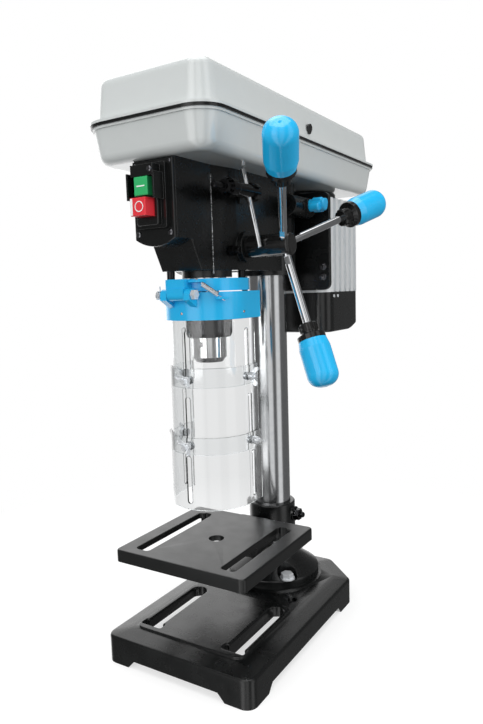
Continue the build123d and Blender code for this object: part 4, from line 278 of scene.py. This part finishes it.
# Column flange and its bolts
# The cast iron foot that holds the column, in the same black paint. Three hex bolts with washers, zinc
# plated, hold it down on the base.
def dress(material, *names):
    """Give the named pieces of the frame a finish."""
    for name in names:
        nodes[name].data.materials.clear()
        nodes[name].data.materials.append(material)


def metal(name, dark, pale, roughness, scratch, stretch=(1, 1, 1), bare=1.0):
    """Bare or plated metal: two close tones, a range of roughness and fine drawn-out scratches."""
    edge_round = 0.3 * mm
    material, tree, shader = new_finish(name)
    shader.inputs["Metallic"].default_value = bare
    tree.links.new(shade(tree, grain(tree, size=6 * mm), dark, pale), shader.inputs["Base Color"])
    gloss = spread(tree, grain(tree, size=2 * mm, detail=4.0, stretch=stretch), *roughness)
    tree.links.new(gloss, shader.inputs["Roughness"])
    scratches = grain(tree, size=0.8 * mm, detail=3.0, stretch=stretch)
    roughen(tree, shader, scratches, scratch, rounded(tree, edge_round))
    return material


zinc_tones = ((0.74, 0.77, 0.80), (0.88, 0.90, 0.92))
zinc = metal("zinc_plate", *zinc_tones, roughness=(0.12, 0.20), scratch=0.012 * mm, bare=0.4)
dress(casting_black, "column_flange")
dress(zinc, "flange_bolts")

# Column
# A drawn steel tube that stands in the flange and carries the head. It is ground bright all round, and the
# grinding leaves fine rings and a soft upright sheen.
ground_tones = ((0.50, 0.51, 0.52), (0.60, 0.61, 0.62))
ring_marks = (0.15, 0.15, 6.0)
ground_steel = metal(
    "ground_steel", *ground_tones, roughness=(0.13, 0.19), scratch=0.003 * mm, stretch=ring_marks
)
dress(ground_steel, "column")

# Table and its bracket
# Two more iron castings in black: the bracket that clamps round the column, and the slotted table on its
# arm, whose paint is a little duller. The lock stud and the tilt bolt are blackened steel.
blackened_tones = ((0.020, 0.020, 0.021), (0.040, 0.040, 0.042))
black_steel = metal("blackened_steel", *blackened_tones, roughness=(0.14, 0.26), scratch=0.015 * mm)
table_black = paint(
    "table_black", *iron_tones, roughness=(0.30, 0.38), peel=0.02 * mm, edge_round=iron_edge
)
dress(casting_black, "table_bracket")
dress(black_steel, "table_lock", "table_tilt_bolt")

table_slot_x = (45.0 * mm, 61.5 * mm)
table_slot_y = (-123.0 * mm, -1.0 * mm)
table_slot_corner = 4.0 * mm
table_pocket_x = (40.0 * mm, 72.0 * mm)
table_lip = 1.0 * mm
pocket_lip = 0.2 * mm
table_deck = 6.5 * mm
table_hole_y = -60.0 * mm
hole_pocket = 17.0 * mm
nearly_round = 0.99
cut_depth = 30.0 * mm
table_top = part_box("table")[1][2]
under_table = table_top - cut_depth
under_deck = table_top - table_deck
table_cuts = ((table_slot_x, table_top, table_lip), (table_pocket_x, under_deck, pocket_lip))
cutter = bmesh.new()
for side in (-1, 1):
    for across, top, lip in table_cuts:
        low = (min(side * x for x in across), table_slot_y[0])
        high = (max(side * x for x in across), table_slot_y[1])
        slot_cutter(cutter, low, high, table_slot_corner, under_table, top, lip)
low = (-hole_pocket, table_hole_y - hole_pocket)
high = (hole_pocket, table_hole_y + hole_pocket)
slot_cutter(cutter, low, high, nearly_round * hole_pocket, under_table, under_deck, pocket_lip)
table_form = recut("table", cutter)
table = finish_piece("table_casting", table_form, table_black, "table", casting_crease)
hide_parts("table")

# Head
# The iron casting that carries the spindle, the motor and the cover, in the same black paint. Its two mould
# halves leave a parting seam on each side, and pale grey specks along it are painted glints of its rough
# edge.
dress(casting_black, "head")
dress(black_steel, "quill_guide_screw")

# Pale grey specks along the seam: painted glints.
seam_glint_grey = (0.55, 0.56, 0.57)
seam_glint_finish, tree, shader = new_finish("painted_seam_glints")
specks = spread(tree, grain(tree, size=0.9 * mm, detail=2.0), low=0, high=1, start=0.42, end=0.58)
tree.links.new(shade(tree, specks, iron_pale, seam_glint_grey), shader.inputs["Base Color"])
tree.links.new(spread(tree, specks, low=0.6, high=0.35), shader.inputs["Roughness"])
roughen(tree, shader, specks, depth=0.05 * mm)

seam_x = 24.0 * mm
seam_y = -84.0 * mm
seam_width = 0.75 * mm
seam_thinnest = 0.45
seam_step = 1.2 * mm
seam_ends = (3.0 * mm, 9.0 * mm)
seam_crease = 60
seam_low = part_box("head")[0][2] + seam_ends[0]
seam_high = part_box("head")[1][2] - seam_ends[1]
seam_corners = [radians(45 * corner) for corner in range(8)]
ragged = random.Random(4)
for side, name in ((-1, "head_seam_left"), (1, "head_seam_right")):
    loops = []
    height = seam_low
    while height < seam_high:
        reach = seam_width * ragged.uniform(seam_thinnest, 1.0)
        around = [(reach * cos(turn), reach * sin(turn)) for turn in seam_corners]
        loops.append([(side * seam_x + x, seam_y + y, height) for x, y in around])
        height += seam_step
    form = bmesh.new()
    skin(form, loops)
    finish_piece(name, form, seam_glint_finish, "frame", seam_crease)


# Switch
# A moulded black plate and bezel with a green start and a red stop button; their signs are printed white,
# and a pale strip on the stop button's left edge is a painted highlight in the same white. The plate's
# rounded edges carry a painted highlight. Dark steel screws with cross recesses hold the plate and the hood.
def moulded(name, dark, pale, roughness, texture, specular=0.5, edge_round=0.4 * mm):
    """A smooth even surface: two close tones, a range of roughness and a fine texture."""
    material, tree, shader = new_finish(name)
    normal = rounded(tree, edge_round) if edge_round else None
    shader.inputs["Specular IOR Level"].default_value = specular
    tree.links.new(shade(tree, grain(tree, size=20 * mm), dark, pale), shader.inputs["Base Color"])
    gloss = spread(tree, grain(tree, size=7 * mm, detail=4.0), *roughness)
    tree.links.new(gloss, shader.inputs["Roughness"])
    roughen(tree, shader, grain(tree, size=0.5 * mm, detail=2.0), texture, normal)
    return material


moulded_black = ((0.004, 0.0045, 0.0045), (0.008, 0.0085, 0.0085))
button_green = ((0.018, 0.38, 0.115), (0.024, 0.43, 0.135))
button_red = ((0.66, 0.022, 0.035), (0.74, 0.030, 0.045))
sign_and_highlight_white = ((0.78, 0.79, 0.79), (0.84, 0.85, 0.85))
bolt_tones = ((0.10, 0.10, 0.11), (0.20, 0.20, 0.21))
# The plate's third tone, on its rounded edges, is a painted highlight.
plate_tones_and_edge_highlight = (iron_dark, iron_pale, (0.20, 0.20, 0.20))
black_plastic = moulded("black_plastic", *moulded_black, roughness=(0.18, 0.28), texture=0.006 * mm)
green_plastic = moulded("green_plastic", *button_green, roughness=(0.28, 0.38), texture=0.008 * mm)
red_plastic = moulded("red_plastic", *button_red, roughness=(0.28, 0.38), texture=0.008 * mm)
white_print_and_highlight = moulded("white_print_and_highlight", *sign_and_highlight_white, roughness=(0.35, 0.45), texture=0.004 * mm)
bolt_steel = metal("bolt_steel", *bolt_tones, roughness=(0.08, 0.14), scratch=0.01 * mm)
plate_black = paint(
    "plate_black", *plate_tones_and_edge_highlight, roughness=(0.16, 0.24), peel=0.006 * mm, edge_round=0.5 * mm
)
dress(plate_black, "switch_plate", "switch_body")
dress(green_plastic, "start_button")
dress(red_plastic, "stop_button")


def block(form, low, high, edge):
    """Add a box between two corners with its edges rounded."""
    middle = (Vector(low) + Vector(high)) / 2
    size = Matrix.Diagonal((*(Vector(high) - Vector(low)), 1))
    made = bmesh.ops.create_cube(form, size=1, matrix=Matrix.Translation(middle) @ size)
    lines = list(dict.fromkeys(line for corner in made["verts"] for line in corner.link_edges))
    bmesh.ops.bevel(form, geom=lines, offset=edge, segments=2, affect="EDGES", profile=0.5, material=-1)


def set_form(form, old, place, way):
    """Move all points but the old ones to a place, with their Z axis along the way."""
    fresh = [point for point in form.verts if point not in old]
    facing = Vector(way).to_track_quat("Z", "Y").to_matrix().to_4x4()
    bmesh.ops.transform(form, matrix=Matrix.Translation(place) @ facing, verts=fresh)


def turn_form(form, profile, place, way, steps=24):
    """Spin a profile of (radius, height) points in mm about the way it faces, standing at a place."""
    old = set(form.verts)
    points = [form.verts.new((radius * mm, 0, height * mm)) for radius, height in profile]
    lines = [form.edges.new(pair) for pair in zip(points, points[1:])]
    bmesh.ops.spin(
        form, geom=points + lines, cent=(0, 0, 0), axis=(0, 0, 1), angle=2 * pi, steps=steps, use_merge=True
    )
    set_form(form, old, place, way)


facing_front = (0, -1, 0)
print_rise = 0.15
print_height = print_rise * mm
dash_half = (4.5 * mm, 0.6 * mm)
dash_edge = 0.05 * mm
start_low, start_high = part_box("start_button")
start_middle = (start_low[2] + start_high[2]) / 2
low = (-dash_half[0], start_low[1] - print_height, start_middle - dash_half[1])
high = (dash_half[0], start_low[1] + print_height, start_middle + dash_half[1])
form = bmesh.new()
block(form, low, high, dash_edge)
finish_piece("start_sign", form, white_print_and_highlight, "start_button")

ring_inner = 3.9
ring_outer = 4.8
ring_offset = 1.5 * mm
ring_steps = 40
# The pale strip on the stop button's left edge is a painted highlight, not print.
highlight_strip_width = 2.9 * mm
highlight_strip_inset = (0.2 * mm, 0.6 * mm)
highlight_strip_depth = 0.5 * mm
highlight_strip_edge = 0.1 * mm
stop_low, stop_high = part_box("stop_button")
stop_middle = (stop_low[2] + stop_high[2]) / 2
ring_profile = [(ring_inner, -print_rise), (ring_inner, print_rise), (ring_outer, print_rise)]
ring_profile += [(ring_outer, -print_rise), (ring_inner, -print_rise)]
low = (stop_low[0] + highlight_strip_inset[0], stop_low[1] - print_height, stop_low[2] + highlight_strip_inset[1])
high = (stop_low[0] + highlight_strip_width, stop_low[1] + highlight_strip_depth, stop_high[2] - highlight_strip_inset[1])
form = bmesh.new()
turn_form(form, ring_profile, (ring_offset, stop_low[1], stop_middle), facing_front, ring_steps)
block(form, low, high, highlight_strip_edge)
finish_piece("stop_sign_and_highlight", form, white_print_and_highlight, "stop_button")


def cross_screw(form, place, way, radius):
    """Add a pan-head screw with a cross recess; the radius is in mm."""
    old = set(form.verts)
    half_arm = radians(15)
    just_past = 0.01
    arm = 0.52
    turns = [half_arm * step for step in range(24)]
    cross = []
    for turn in turns:
        off_axis = abs((turn + pi / 4) % (pi / 2) - pi / 4)
        if off_axis < half_arm + just_past:
            cross.append(arm / cos(off_axis))
        else:
            cross.append(arm * tan(half_arm) / sin(off_axis))
    head_profile = ((1.0, -0.3), (1.0, 0.15), (0.9, 0.42), (0.66, 0.58))
    rims = [([reach] * len(turns), height) for reach, height in head_profile]
    rims += [(cross, 0.6), (cross, 0.2)]
    loops = []
    for reaches, height in rims:
        flat = [(reach * cos(turn), reach * sin(turn)) for reach, turn in zip(reaches, turns)]
        loops.append([Vector((x, y, height)) * radius * mm for x, y in flat])
    skin(form, loops)
    set_form(form, old, place, way)


plate_screw = 3.0
plate_screw_x = 18.5 * mm
plate_screw_rise = 11.7 * mm
corner_screw = 1.6
corner_inset = 3.2 * mm
hood_depth = 16.0 * mm
hood_screw = 2.8
hood_screw_x = 9.6 * mm
hood_screw_drop = 7.5 * mm
plate_low, plate_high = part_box("switch_plate")
plate_front = plate_low[1]
plate_screw_z = plate_low[2] + plate_screw_rise
corner_x = plate_high[0] - corner_inset
corner_z = plate_high[2] - corner_inset
hood_screw_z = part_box("switch_body")[1][2] - hood_screw_drop
form = bmesh.new()
for side in (-1, 1):
    cross_screw(form, (side * plate_screw_x, plate_front, plate_screw_z), facing_front, plate_screw)
    cross_screw(form, (side * corner_x, plate_front, corner_z), facing_front, corner_screw)
cross_screw(form, (hood_screw_x, plate_front - hood_depth, hood_screw_z), facing_front, hood_screw)
finish_piece("switch_screws", form, bolt_steel, "frame")

# Quill, spindle and chuck
# Turned and ground steel: the quill slides in the head and carries the spindle on two bearings, with the
# chuck on its nose. The chuck's body is bright, and its toothed sleeve and its jaws are blackened.
bright_tones = ((0.56, 0.56, 0.56), (0.68, 0.68, 0.68))
turning_marks = (0.3, 0.3, 4.0)
bright_steel = metal(
    "bright_steel", *bright_tones, roughness=(0.10, 0.16), scratch=0.004 * mm, stretch=turning_marks
)
dress(bright_steel, "quill", "quill_bearings", "spindle", "chuck_body")
dress(black_steel, "chuck_sleeve", "chuck_jaw_1", "chuck_jaw_2", "chuck_jaw_3")

# Feed handle
# Chromed bars screwed into the hub, with glossy black collars and bright blue moulded knobs. The hub's shaft
# crosses the head to the coiled return spring under its black cover.
chrome_tones = ((0.58, 0.59, 0.61), (0.66, 0.67, 0.68))
gloss_tones = ((0.006, 0.006, 0.006), (0.010, 0.010, 0.010))
blue_tones = ((0.010, 0.44, 0.82), (0.015, 0.48, 0.87))
chrome = metal("chrome_plate", *chrome_tones, roughness=(0.07, 0.12), scratch=0.002 * mm)
black_gloss = moulded("black_gloss", *gloss_tones, roughness=(0.10, 0.18), texture=0.004 * mm)
blue_plastic = moulded("blue_plastic", *blue_tones, roughness=(0.15, 0.21), texture=0.003 * mm, specular=0.7)
dress(chrome, "feed_spokes")
dress(black_gloss, "feed_hub", "knob_collars")
dress(blue_plastic, "feed_knobs")
dress(black_steel, "feed_shaft")
dress(bright_steel, "return_spring")
dress(black_plastic, "spring_cover")

# Chuck key
# A blackened steel key with a bevel gear and a chromed cross bar through its shank. It is held in a moulded
# black clip on the head's right side.
dress(black_steel, "chuck_key")
dress(chrome, "key_bar")
dress(black_plastic, "key_clip")


# Motor
# A fluted aluminium body on a black steel plate, with a black moulded fan cover below; two bolts hold the
# plate to the body on each side, and two small screws the fan cover. The motor slides on two rods, and a
# blue winged knob clamps one of them.
def hex_bolt(form, place, way, across, height):
    """Add a hexagon head on a washer; the width across its corners and its height are in mm."""
    washer = 0.62 * across
    washer_side = 0.9
    washer_top = 1.1
    washer_slope = 0.3
    head_seat = 1.0
    head_round = 0.5 * mm
    washer_profile = [(0, 0), (washer, 0), (washer, washer_side)]
    washer_profile += [(washer - washer_slope, washer_top), (0, washer_top)]
    turn_form(form, washer_profile, place, way)
    old = set(form.verts)
    radius = across / 2 * mm
    middle = Matrix.Translation((0, 0, (head_seat + height / 2) * mm))
    made = bmesh.ops.create_cone(
        form, cap_ends=True, segments=6, radius1=radius, radius2=radius, depth=height * mm, matrix=middle
    )
    lines = dict.fromkeys(line for corner in made["verts"] for line in corner.link_edges)
    top = [line for line in lines if min(corner.co.z for corner in line.verts) > height * mm]
    bmesh.ops.bevel(form, geom=top, offset=head_round, segments=2, affect="EDGES", profile=0.5, material=-1)
    set_form(form, old, place, way)


alloy_tones = ((0.72, 0.74, 0.75), (0.80, 0.82, 0.83))
draw_marks = (4.0, 4.0, 0.1)
extruded = metal(
    "extruded_aluminium",
    *alloy_tones,
    roughness=(0.30, 0.42),
    scratch=0.01 * mm,
    stretch=draw_marks,
    bare=0.3,
)
dress(extruded, "motor_body")
dress(casting_black, "motor_plate", "motor_top_bell")
dress(black_plastic, "motor_end_cap", "cord_gland")
dress(bright_steel, "motor_shaft")
dress(black_steel, "motor_slide_rods")
dress(blue_plastic, "tension_knob")

bolt_across = 7.5
bolt_head = 3.2
bolt_inset = 8.5 * mm
bolt_heights = (416.0 * mm, 404.0 * mm)
motor_plate_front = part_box("motor_plate")[0][1]
bolt_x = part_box("motor_plate")[1][0] - bolt_inset
form = bmesh.new()
for side in (-1, 1):
    for height in bolt_heights:
        hex_bolt(form, (side * bolt_x, motor_plate_front, height), facing_front, bolt_across, bolt_head)
finish_piece("motor_bolts", form, bolt_steel, "motor")

cap_screw = 2.0
cap_screw_drop = 5.0 * mm
cap_screw_depths = (136.0 * mm, 148.0 * mm)
cap_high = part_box("motor_end_cap")[1]
form = bmesh.new()
for side in (-1, 1):
    for depth in cap_screw_depths:
        cross_screw(form, (side * cap_high[0], depth, cap_high[2] - cap_screw_drop), (side, 0, 0), cap_screw)
finish_piece("cap_screws", form, zinc, "motor")

# Drive belt
# A wedge-section rubber belt, moulded in one loop and wrapped in rubbered cloth, on the second steps of the
# two aluminium pulleys. It is one solid loop at its rest length.
rubber_tones = ((0.012, 0.012, 0.012), (0.028, 0.027, 0.026))
belt_rubber, tree, shader = new_finish("belt_rubber")
tree.links.new(shade(tree, grain(tree, size=8 * mm), *rubber_tones), shader.inputs["Base Color"])
tree.links.new(spread(tree, grain(tree, size=5 * mm), low=0.65, high=0.85), shader.inputs["Roughness"])
roughen(tree, shader, grain(tree, size=0.7 * mm, detail=2.0), depth=0.08 * mm)
dress(extruded, "spindle_pulley", "motor_pulley")

belt_crown = 0.4
belt_section = [(0, 4.8), (belt_crown, 4.4), (belt_crown, -4.4), (0, -4.8)]
belt_section += [(-4.6, -3.4), (-5.0, -2.9), (-5.0, 2.9), (-4.6, 3.4)]
belt_steps = 40
spindle_middle = sum(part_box("spindle_pulley")[end][1] for end in (0, 1)) / 2
motor_middle = sum(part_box("motor_pulley")[end][1] for end in (0, 1)) / 2
belt_low, belt_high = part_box("drive_belt")
belt_z = (belt_low[2] + belt_high[2]) / 2
spindle_reach = spindle_middle - belt_low[1]
motor_reach = belt_high[1] - motor_middle
form = bmesh.new()
ends = []
for middle, belt_reach, start in ((spindle_middle, spindle_reach, pi), (motor_middle, motor_reach, 0)):
    points = []
    for out, rise in belt_section:
        reach = belt_reach + (out - belt_crown) * mm
        points.append(form.verts.new((reach * cos(start), middle + reach * sin(start), belt_z + rise * mm)))
    first = [form.edges.new(pair) for pair in zip(points, points[1:] + points[:1])]
    turned = bmesh.ops.spin(
        form, geom=points + first, cent=(0, middle, belt_z), axis=(0, 0, 1), angle=pi, steps=belt_steps
    )
    last = [line for line in turned["geom_last"] if isinstance(line, bmesh.types.BMEdge)]
    ends.append((first, last))
(spindle_first, spindle_last), (motor_first, motor_last) = ends
bmesh.ops.bridge_loops(form, edges=spindle_last + motor_first)
bmesh.ops.bridge_loops(form, edges=motor_last + spindle_first)
belt = finish_piece("v_belt", form, belt_rubber)
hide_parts("drive_belt")
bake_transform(belt)

# Belt cover
# Two pressed steel halves in smooth pale grey satin paint. A black strip between their flanges stands for
# the dark line there, and its depth takes in painted shade under the lid's flange. The lid swings on bright
# pins at the left and is held shut by a black lock screw.
grey_tones = ((0.580, 0.608, 0.604), (0.605, 0.632, 0.628))
cover_grey = moulded(
    "cover_grey", *grey_tones, roughness=(0.12, 0.17), texture=0.001 * mm, specular=1.0, edge_round=0
)
dress(cover_grey, "cover_pan", "cover_lid")
dress(black_plastic, "lid_seal")
dress(bright_steel, "lid_hinge_pins")
dress(black_gloss, "lid_lock")

# Chuck guard
# Three clear moulded channels in a blue skirt that hinges on a zinc pin, below a blue ring on two steel
# posts. Zinc screws with wing nuts join the channels. The skirt has three small rivets, a close-wound
# tension spring and a torsion spring on the pin.
# The clear plastic is tinted dark along its rounded edges: painted shade for the dark rims of clear edges.
clear_face = (0.972, 0.982, 0.985, 1)
clear_edge_shade = (0.16, 0.19, 0.20, 1)
clear_round = 0.8 * mm
clear_plastic, tree, shader = new_finish("clear_plastic")
clear_tone = blend_colours(tree, edge_share(tree, rounded(tree, clear_round)), clear_face, clear_edge_shade)
tree.links.new(clear_tone, shader.inputs["Base Color"])
shader.inputs["Transmission Weight"].default_value = 1.0
shader.inputs["IOR"].default_value = 1.49
clear_gloss = spread(tree, grain(tree, size=12 * mm, detail=5.0), low=0.02, high=0.07)
tree.links.new(clear_gloss, shader.inputs["Roughness"])
roughen(tree, shader, grain(tree, size=30 * mm, detail=1.0), depth=0.08 * mm)
dress(clear_plastic, "guard_upper", "guard_middle", "guard_lower")
dress(zinc, "guard_hinge_pin", "guard_middle_screws", "guard_lower_screws")
dress(blue_plastic, "guard_ring", "guard_skirt")
dress(black_steel, "guard_posts")

copper_tones = ((0.62, 0.42, 0.34), (0.78, 0.60, 0.52))
rivet_copper = metal("rivet_copper", *copper_tones, roughness=(0.2, 0.3), scratch=0.01 * mm)
rivet = [(0, -0.4), (1.4, -0.4), (1.4, 0.1), (1.2, 0.5), (0.7, 0.75), (0, 0.85)]
rivet_rise = 7.0 * mm
rivet_steps = 20
rivet_turns = (radians(-3), radians(88), radians(-88))
skirt_low, skirt_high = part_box("guard_skirt")
skirt_radius = skirt_high[0]
skirt_middle = Vector((0, spindle_middle, skirt_low[2] + rivet_rise))
form = bmesh.new()
for turn in rivet_turns:
    way = Vector((sin(turn), -cos(turn), 0))
    turn_form(form, rivet, skirt_middle + way * skirt_radius, way, rivet_steps)
finish_piece("skirt_rivets", form, rivet_copper, "guard")


def wire_form(points, thickness):
    """A round wire bent smoothly along a row of points."""
    curve = bpy.data.curves.new("wire", "CURVE")
    curve.dimensions = "3D"
    curve.bevel_depth = thickness / 2
    curve.bevel_resolution = 3
    curve.use_fill_caps = True
    line = curve.splines.new("NURBS")
    line.points.add(len(points) - 1)
    for bend, place in zip(line.points, points):
        bend.co = (*place, 1)
    line.order_u = 4
    line.use_endpoint_u = True
    line.resolution_u = 2
    bent = bpy.data.objects.new("wire", curve)
    form = bmesh.new()
    form.from_mesh(bpy.data.meshes.new_from_object(bent))
    bpy.data.objects.remove(bent)
    return form


wire_tones = ((0.66, 0.67, 0.68), (0.84, 0.85, 0.86))
spring_wire, tree, shader = new_finish("spring_wire")
shader.inputs["Metallic"].default_value = 1.0
tree.links.new(shade(tree, grain(tree, size=4 * mm), *wire_tones), shader.inputs["Base Color"])
tree.links.new(spread(tree, grain(tree, size=1.5 * mm), low=0.14, high=0.26), shader.inputs["Roughness"])
roughen(tree, shader, grain(tree, size=0.4 * mm), depth=0.01 * mm)

ear_hole = Vector((17.0, -103.0, 401.4)) * mm
ledge_hole = Vector((38.84, -92.59, 384.5)) * mm
tension_wire = 1.15 * mm
coil_radius = 2.3 * mm
coil_turns = 16
coil_pitch = 1.22 * mm
hook = 2.4 * mm
lead_bend = 0.6
steps_per_turn = 12
wire_crease = 60
up = Vector((0, 0, 1))
along = (ledge_hole - ear_hole).normalized()
sideways = along.cross(up).normalized()
upwards = sideways.cross(along)
level_way = Vector((along.x, along.y, 0)).normalized()
lead = (ledge_hole - ear_hole).length / 2 - coil_turns * coil_pitch / 2
coil = []
for step in range(coil_turns * steps_per_turn + 1):
    turn = 2 * pi * step / steps_per_turn
    outward = sideways * cos(turn) + upwards * sin(turn)
    coil.append(ear_hole + along * (lead + step * coil_pitch / steps_per_turn) + outward * coil_radius)
bends = [ear_hole + up * hook - level_way * hook, ear_hole + up * hook, ear_hole]
bends += [ear_hole + along * lead * lead_bend, *coil, ledge_hole - along * lead * lead_bend]
bends += [ledge_hole, ledge_hole - up * hook, ledge_hole - up * hook + level_way * hook]
form = wire_form(bends, tension_wire)
spring = finish_piece("tension_spring", form, spring_wire, crease=wire_crease)
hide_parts("guard_spring")
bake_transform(spring)

pin_y = -109.0 * mm
pin_z = 388.5 * mm
torsion_wire = 1.2 * mm
torsion_start = -22.2 * mm
torsion_radius = 4.2 * mm
torsion_turns = 3
torsion_pitch = 1.8 * mm
torsion_leg = 9.0 * mm
coil = []
for step in range(torsion_turns * steps_per_turn + 1):
    turn = 2 * pi * step / steps_per_turn
    x = torsion_start - step * torsion_pitch / steps_per_turn
    coil.append(Vector((x, pin_y + torsion_radius * cos(turn), pin_z + torsion_radius * sin(turn))))
bends = [coil[0] - up * torsion_leg, coil[0] - up * torsion_leg / 3, *coil]
bends += [coil[-1] + up * torsion_leg / 3, coil[-1] + up * torsion_leg]
form = wire_form(bends, torsion_wire)
spring = finish_piece("torsion_spring", form, spring_wire, crease=wire_crease)
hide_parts("guard_torsion_spring")
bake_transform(spring)

# Floor
# A plain pale floor that runs out into white, so that only the soft shadow under the base shows. It is white
# to the eye and through the clear guard. Polished parts don't mirror it, and it throws some light up at
# the object.
seen_through = 0.80
few_walls = 3.5


def straight_view(tree, path):
    """One for what the eye sees straight on, less through the clear guard or by way of its walls, and
    nothing for what paint scatters or polished parts mirror."""
    dimmed = combine(tree, "MULTIPLY", path["Is Transmission Ray"], seen_through)
    eye = combine(tree, "MAXIMUM", path["Is Camera Ray"], dimmed)
    bounced = combine(tree, "MAXIMUM", path["Glossy Depth"], path["Diffuse Depth"])
    inside_wall = combine(tree, "LESS_THAN", path["Transmission Depth"], few_walls)
    piped = combine(tree, "SUBTRACT", combine(tree, "MULTIPLY", dimmed, inside_wall), path["Diffuse Depth"])
    direct = combine(tree, "MAXIMUM", combine(tree, "SUBTRACT", eye, bounced), piped)
    return combine(tree, "MAXIMUM", direct, 0)


floor_reach = 3.0
floor_sides = 96
floor_dull = (0.14, 0.14, 0.14)
floor_seen = (0.45, 0.45, 0.45)
floor_glow = 0.62
floor_bounce = 0.30
shadow_until = 0.28
white_from = 0.60
form = bmesh.new()
bmesh.ops.create_circle(form, cap_ends=True, segments=floor_sides, radius=floor_reach)
mesh = bpy.data.meshes.new("floor")
form.to_mesh(mesh)
form.free()
floor = bpy.data.objects.new("floor", mesh)
bpy.context.collection.objects.link(floor)
floor.visible_glossy = False
floor_white, tree, shader = new_finish("floor_white")
path = new_node(tree, "ShaderNodeLightPath").outputs
seen = straight_view(tree, path)
tree.links.new(shade(tree, seen, floor_dull, floor_seen), shader.inputs["Base Color"])
shader.inputs["Roughness"].default_value = 0.9
shader.inputs["Specular IOR Level"].default_value = 0.0
shader.inputs["Emission Color"].default_value = (1, 1, 1, 1)
tree.links.new(spread(tree, seen, 0, floor_glow, 0, 1), shader.inputs["Emission Strength"])
place = new_node(tree, "ShaderNodeTexCoord").outputs["Object"]
away = new_node(tree, "ShaderNodeVectorMath", {0: place}, operation="LENGTH").outputs["Value"]
outer = spread(tree, away, 0, 1, shadow_until, white_from)
glow = combine(tree, "MAXIMUM", seen, floor_bounce)
white = new_node(tree, "ShaderNodeEmission", {"Strength": glow}).outputs["Emission"]
mixed = new_node(tree, "ShaderNodeMixShader", {0: outer, 1: shader.outputs["BSDF"], 2: white})
tree.links.new(mixed.outputs["Shader"], tree.nodes["Material Output"].inputs["Surface"])
mesh.materials.append(floor_white)

# Light
# A white studio: the backdrop is white to the eye and through the clear guard, and a pale room fills the
# shadows. Polished parts mirror the backdrop and three upright screens between the front and the right,
# with a dim room between them. Soft boxes above, in front and to the right light the paint.
room_light = 0.70
dim_room = 0.16

# Each screen has its turn from the front towards the right, half its width, its soft edge and its strength.
front_screen = (radians(-6), radians(17), radians(6), 1.6)
corner_screen = (radians(36), radians(15), radians(4), 1.0)
right_screen = (radians(88), radians(15), radians(4), 1.0)
backdrop = (radians(229), radians(28), radians(16), 1.8)
world = bpy.data.worlds.new("studio")
world.use_nodes = True
bpy.context.scene.world = world
tree = world.node_tree
sky = tree.nodes["Background"]
sky.inputs["Color"].default_value = (1, 1, 1, 1)
path = new_node(tree, "ShaderNodeLightPath").outputs
ray = new_node(tree, "ShaderNodeTexCoord").outputs["Generated"]
flat = new_node(tree, "ShaderNodeVectorMath", {0: ray, 1: (1, 1, 0)}, operation="MULTIPLY").outputs["Vector"]
level = new_node(tree, "ShaderNodeVectorMath", {0: flat}, operation="NORMALIZE").outputs["Vector"]
mirrored = dim_room
for turn, half_width, soft_edge, strength in (front_screen, corner_screen, right_screen, backdrop):
    pair = {0: level, 1: (sin(turn), -cos(turn), 0)}
    near = new_node(tree, "ShaderNodeVectorMath", pair, operation="DOT_PRODUCT").outputs["Value"]
    screen = spread(tree, near, 0, strength, cos(half_width + soft_edge), cos(half_width - soft_edge))
    mirrored = combine(tree, "MAXIMUM", screen, mirrored)
mirrored = combine(tree, "MULTIPLY", mirrored, combine(tree, "MINIMUM", path["Glossy Depth"], 1))
room = combine(tree, "MULTIPLY", room_light, combine(tree, "MINIMUM", path["Diffuse Depth"], 1))
indirect = combine(tree, "MAXIMUM", mirrored, room)
tree.links.new(combine(tree, "MAXIMUM", straight_view(tree, path), indirect), sky.inputs["Strength"])

box_side = 1.6


def soft_box(name, place, aim, power, mirrored):
    """A square lamp at a place, turned to its aim; its power is in watts."""
    lamp = bpy.data.lights.new(name, "AREA")
    lamp.shape = "SQUARE"
    lamp.size = box_side
    lamp.energy = power
    box = bpy.data.objects.new(name, lamp)
    box.location = place
    box.rotation_euler = (Vector(aim) - Vector(place)).to_track_quat("-Z", "Y").to_euler()
    box.visible_camera = False
    box.visible_glossy = mirrored
    bpy.context.collection.objects.link(box)


soft_box("top_box", place=(0.0, -0.1, 2.0), aim=(0, 0, 0.3), power=16, mirrored=True)
soft_box("front_box", place=(-0.3, -2.0, 0.8), aim=(0, 0, 0.4), power=18.5, mirrored=False)
soft_box("right_box", place=(2.2, 0.3, 0.8), aim=(0, 0.1, 0.4), power=20.5, mirrored=False)

# Camera
# It stands to the right of the front, a little below the cover, and looks slightly down. Its place, its turn
# and its lens were fitted to edges of the base, table, column, cover and head in the photograph.
photo_width = 483
photo_height = 724
focal_pixels = 641.9
axis_pixel = (220.9, 370.0)
camera_place = (0.3746, -0.6202, 0.3923)
view_turn = radians(32.83)
dip = radians(-7.12)
roll = radians(-1.93)
camera_data = bpy.data.cameras.new("camera")
camera_data.sensor_width = 36
camera_data.lens = camera_data.sensor_width * focal_pixels / photo_height
camera_data.shift_x = (photo_width / 2 - axis_pixel[0]) / photo_height
camera_data.shift_y = (axis_pixel[1] - photo_height / 2) / photo_height
camera = bpy.data.objects.new("camera", camera_data)
upright = Matrix.Rotation(view_turn, 4, "Z") @ Matrix.Rotation(pi / 2 + dip, 4, "X")
camera.matrix_world = Matrix.Translation(camera_place) @ upright @ Matrix.Rotation(roll, 4, "Z")
bpy.context.collection.objects.link(camera)
bpy.context.scene.camera = camera
bpy.context.scene.view_settings.view_transform = "Standard"
